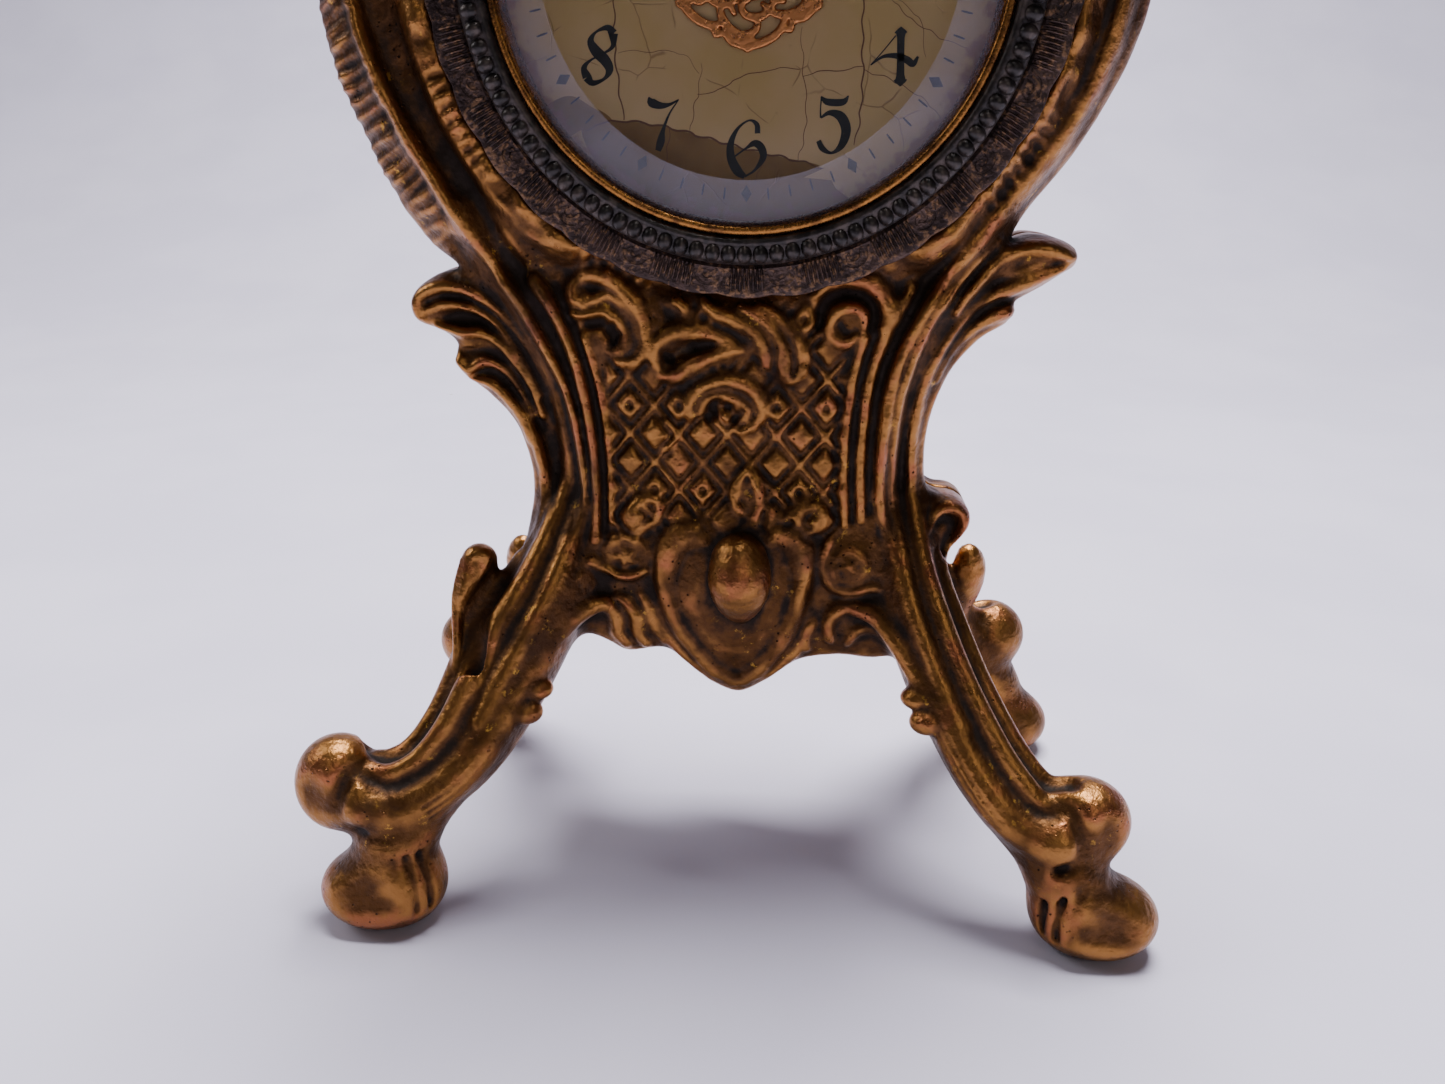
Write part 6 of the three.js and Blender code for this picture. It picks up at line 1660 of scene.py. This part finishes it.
def make_stage(look):
    """A pale board that curves up behind, a strong soft lamp overhead and two weak ones."""
    top, curve_from, curve, half_width = -0.05, 260, 500, 2600
    sweep = [(-1500, top), (curve_from, top)]
    for turn in np.linspace(0.06, math.pi / 2, 24):
        sweep.append((curve_from + curve * math.sin(turn), curve - curve * math.cos(turn) + top))
    sweep.append((curve_from + curve, 2200))
    places = [(x, y, z) for y, z in sweep for x in (-half_width, half_width)]
    faces = [(2 * k, 2 * k + 1, 2 * k + 3, 2 * k + 2) for k in range(len(sweep) - 1)]
    ground = mesh_piece("floor", places, faces)
    ground.data.materials.append(floor_finish())
    world = bpy.context.scene.world or bpy.data.worlds.new("studio")
    bpy.context.scene.world = world
    world.use_nodes = True
    sky = world.node_tree.nodes.get("Background")
    sky.inputs["Color"].default_value = (*rgb(214, 210, 222), 1)
    sky.inputs["Strength"].default_value = look.ambient
    for name, place, size, power, colour in (
        ("ceiling", (40, 150, 760), 360, look.key_light, (0.97, 0.96, 1.0)),
        ("window", (-620, 60, 520), 380, look.key_light * 0.12, (0.97, 0.97, 1.0)),
        ("room", (300, -700, 560), 420, look.key_light * 0.05, (1.0, 0.95, 0.90)),
    ):
        lamp = bpy.data.lights.new(name, "AREA")
        lamp.size = size * MM
        lamp.energy = power
        lamp.color = colour
        holder = bpy.data.objects.new(name, lamp)
        bpy.context.scene.collection.objects.link(holder)
        holder.location = Vector(place) * MM
        aim = Vector((0, 0, 60)) * MM - holder.location
        holder.rotation_euler = aim.to_track_quat("-Z", "Y").to_euler()


def make_camera():
    """The camera stands close in front, a little above the dial, and looks down."""
    camera = bpy.data.cameras.new("camera")
    camera.sensor_width = 36
    camera.lens = 27.03
    camera.clip_start = 0.005
    camera.clip_end = 20
    holder = bpy.data.objects.new("camera", camera)
    bpy.context.scene.collection.objects.link(holder)
    pitch, roll, heading = math.radians(20.54), math.radians(0.535), math.radians(-2.79)
    level = math.cos(pitch)
    ahead = Vector((math.sin(heading) * level, math.cos(heading) * level, -math.sin(pitch)))
    right = Vector((math.cos(heading), -math.sin(heading), 0))
    up = right.cross(ahead)
    turned_right = math.cos(roll) * right + math.sin(roll) * up
    turned_up = -math.sin(roll) * right + math.cos(roll) * up
    facing = Matrix((turned_right, turned_up, -ahead)).transposed().to_4x4()
    holder.matrix_world = Matrix.Translation(Vector((3.73, -131.91, 89.94)) * MM) @ facing
    bpy.context.scene.camera = holder


# ------------------------------------------------------------------ the add-on
def colour_property(name, description, value):
    """A colour setting of the look."""
    return bpy.props.FloatVectorProperty(name=name, description=description, subtype="COLOR", size=3,
                                         min=0, max=1, default=value)


def count_property(name, description, value, low, high):
    """A whole number among the sizes."""
    return bpy.props.IntProperty(name=name, description=description, default=value, min=low, max=high)


def size_property(name, description, value, low, high):
    """A length in millimetres, or a strength."""
    return bpy.props.FloatProperty(name=name, description=description, default=value, min=low, max=high)


class MantelClockSizes(bpy.types.PropertyGroup):
    """Sizes and counts of the clock's visible work."""
    beads: count_property("Beads", "Beads round the bezel", 104, 24, 160)
    rib_groups: count_property("Rib Groups", "Groups of radial ribs stamped round the flange", 24, 6, 40)
    knurls: count_property("Knurls", "Ridges round the setting knob", 40, 12, 80)
    relief: size_property("Relief", "Strength of the raised work on the castings", 1.0, 0.0, 2.0)
    lattice_width: size_property("Lattice Width", "Width of one lattice cell, in millimetres", 5.7, 2, 12)
    lattice_height: size_property("Lattice Height", "Height of one lattice cell, in millimetres", 6.8, 2, 12)
    numeral_radius: size_property("Numeral Radius", "Radius of the numerals' ring, in millimetres", 17.7, 10,
                                  20)
    clay_step: size_property("Clay Step", "Fineness of the sculpted castings, in millimetres", 0.3, 0.2, 1.0)


class MantelClockLook(bpy.types.PropertyGroup):
    """Colours of the finishes and strength of the light."""
    gilt: colour_property("Gilding", "Middle tone of the worn gilding", rgb(92, 61, 36))
    # Bright Gilding is the colour of the painted highlight on the castings' crests.
    bright_gilt: colour_property("Bright Gilding", "Gilding on the crests", rgb(168, 116, 60))
    copper: colour_property("Worn Copper", "Metal that shows where the gilding has gone", rgb(150, 88, 58))
    # Recesses is the colour of the painted shade that darkens the castings' recesses.
    recess: colour_property("Recesses", "Old dirt in the recesses", rgb(26, 18, 12))
    bronze: colour_property("Dark Bronze", "Stamped flange", rgb(48, 37, 34))
    dial: colour_property("Dial", "Cream dial skin", rgb(204, 174, 120))
    key_light: size_property("Key Light", "Power of the largest lamp, in watts", 17.5, 0, 100)
    ambient: size_property("Ambient", "Strength of the room's light", 0.08, 0, 4)


MADE = {}


def finishes_of(look):
    """The finishes, made once and shared by the pieces."""
    if not MADE:
        MADE.update({
            "gilt": gilt_finish(look),
            "dark_bronze": dark_bronze_finish(look),
            "beads": bead_finish(),
            "bright_gilt": bright_gilt_finish(),
            "copper_gilt": copper_gilt_finish(),
            "brass": brass_finish(),
            "steel": steel_finish(),
            "blued_steel": blued_finish(),
            "tin": tin_finish(),
            "dial": dial_finish("old dial", tuple(look.dial), rgb(198, 168, 106)),
            "tan_dial": dial_finish("stained dial", rgb(140, 108, 56), rgb(120, 88, 44), 0.3, 0.7),
            "ink": ink_finish("black ink", rgb(20, 22, 24), 0.5),
            "crack": ink_finish("crack", rgb(104, 70, 46), 0.0),
            "glass": glass_finish(),
            "haze": haze_finish(),
        })
    return MADE


class ClockStep:
    """What every step of building the clock shares."""
    bl_options = {"REGISTER", "UNDO"}

    def execute(self, context):
        sizes, look = context.scene.mantel_clock_sizes, context.scene.mantel_clock_look
        self.build(sizes, look, finishes_of(look))
        return {"FINISHED"}


class MANTELCLOCK_OT_stage(ClockStep, bpy.types.Operator):
    """Sets up the board, the lamps and the camera"""
    bl_idname = "mantel_clock.stage"
    bl_label = "Stage"

    def build(self, sizes, look, finishes):
        make_camera()
        make_stage(look)


class MANTELCLOCK_OT_case(ClockStep, bpy.types.Operator):
    """Sculpts the two gilt castings"""
    bl_idname = "mantel_clock.case"
    bl_label = "Case Castings"

    def build(self, sizes, look, finishes):
        make_case(sizes, finishes)


class MANTELCLOCK_OT_rings(ClockStep, bpy.types.Operator):
    """Turns the flange, the beaded bezel, the glass and its rings"""
    bl_idname = "mantel_clock.rings"
    bl_label = "Glass and Rings"

    def build(self, sizes, look, finishes):
        make_rings(sizes, finishes)


class MANTELCLOCK_OT_dial(ClockStep, bpy.types.Operator):
    """Lays out the dial with its numerals, minute track and cracks"""
    bl_idname = "mantel_clock.dial"
    bl_label = "Dial"

    def build(self, sizes, look, finishes):
        make_dial(sizes, finishes)


class MANTELCLOCK_OT_ornament(ClockStep, bpy.types.Operator):
    """Makes the pierced ornament at the dial's centre"""
    bl_idname = "mantel_clock.ornament"
    bl_label = "Dial Ornament"

    def build(self, sizes, look, finishes):
        make_ornament(finishes)


class MANTELCLOCK_OT_back(ClockStep, bpy.types.Operator):
    """Makes the drum, its cover, the key, the knob and the screws"""
    bl_idname = "mantel_clock.back"
    bl_label = "Drum, Key and Screws"

    def build(self, sizes, look, finishes):
        make_back_pieces(sizes, finishes)


class MANTELCLOCK_OT_movement(ClockStep, bpy.types.Operator):
    """Finishes the wheels, plates, springs and hands of the movement"""
    bl_idname = "mantel_clock.movement"
    bl_label = "Movement Finishes"

    def build(self, sizes, look, finishes):
        finish_movement(finishes)


STEPS = (MANTELCLOCK_OT_stage, MANTELCLOCK_OT_case, MANTELCLOCK_OT_rings, MANTELCLOCK_OT_dial,
         MANTELCLOCK_OT_ornament, MANTELCLOCK_OT_back, MANTELCLOCK_OT_movement)


class MANTELCLOCK_PT_panel(bpy.types.Panel):
    """Sizes, colours and the steps in order"""
    bl_label = "Mantel Clock"
    bl_idname = "MANTELCLOCK_PT_panel"
    bl_space_type = "VIEW_3D"
    bl_region_type = "UI"
    bl_category = "Mantel Clock"

    def draw(self, context):
        for group in (context.scene.mantel_clock_sizes, context.scene.mantel_clock_look):
            box = self.layout.box()
            for name in group.__annotations__:
                box.prop(group, name)
        for step in STEPS:
            self.layout.operator(step.bl_idname)


CLASSES = (MantelClockSizes, MantelClockLook) + STEPS + (MANTELCLOCK_PT_panel,)


def register():
    for item in CLASSES:
        bpy.utils.register_class(item)
    bpy.types.Scene.mantel_clock_sizes = bpy.props.PointerProperty(type=MantelClockSizes)
    bpy.types.Scene.mantel_clock_look = bpy.props.PointerProperty(type=MantelClockLook)


def unregister():
    del bpy.types.Scene.mantel_clock_sizes
    del bpy.types.Scene.mantel_clock_look
    for item in reversed(CLASSES):
        bpy.utils.unregister_class(item)


def main():
    """Registers the add-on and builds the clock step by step."""
    register()
    for step in STEPS:
        group, name = step.bl_idname.split(".")
        getattr(getattr(bpy.ops, group), name)()
    bpy.context.view_layer.update()


if __name__ == "__main__":
    main()
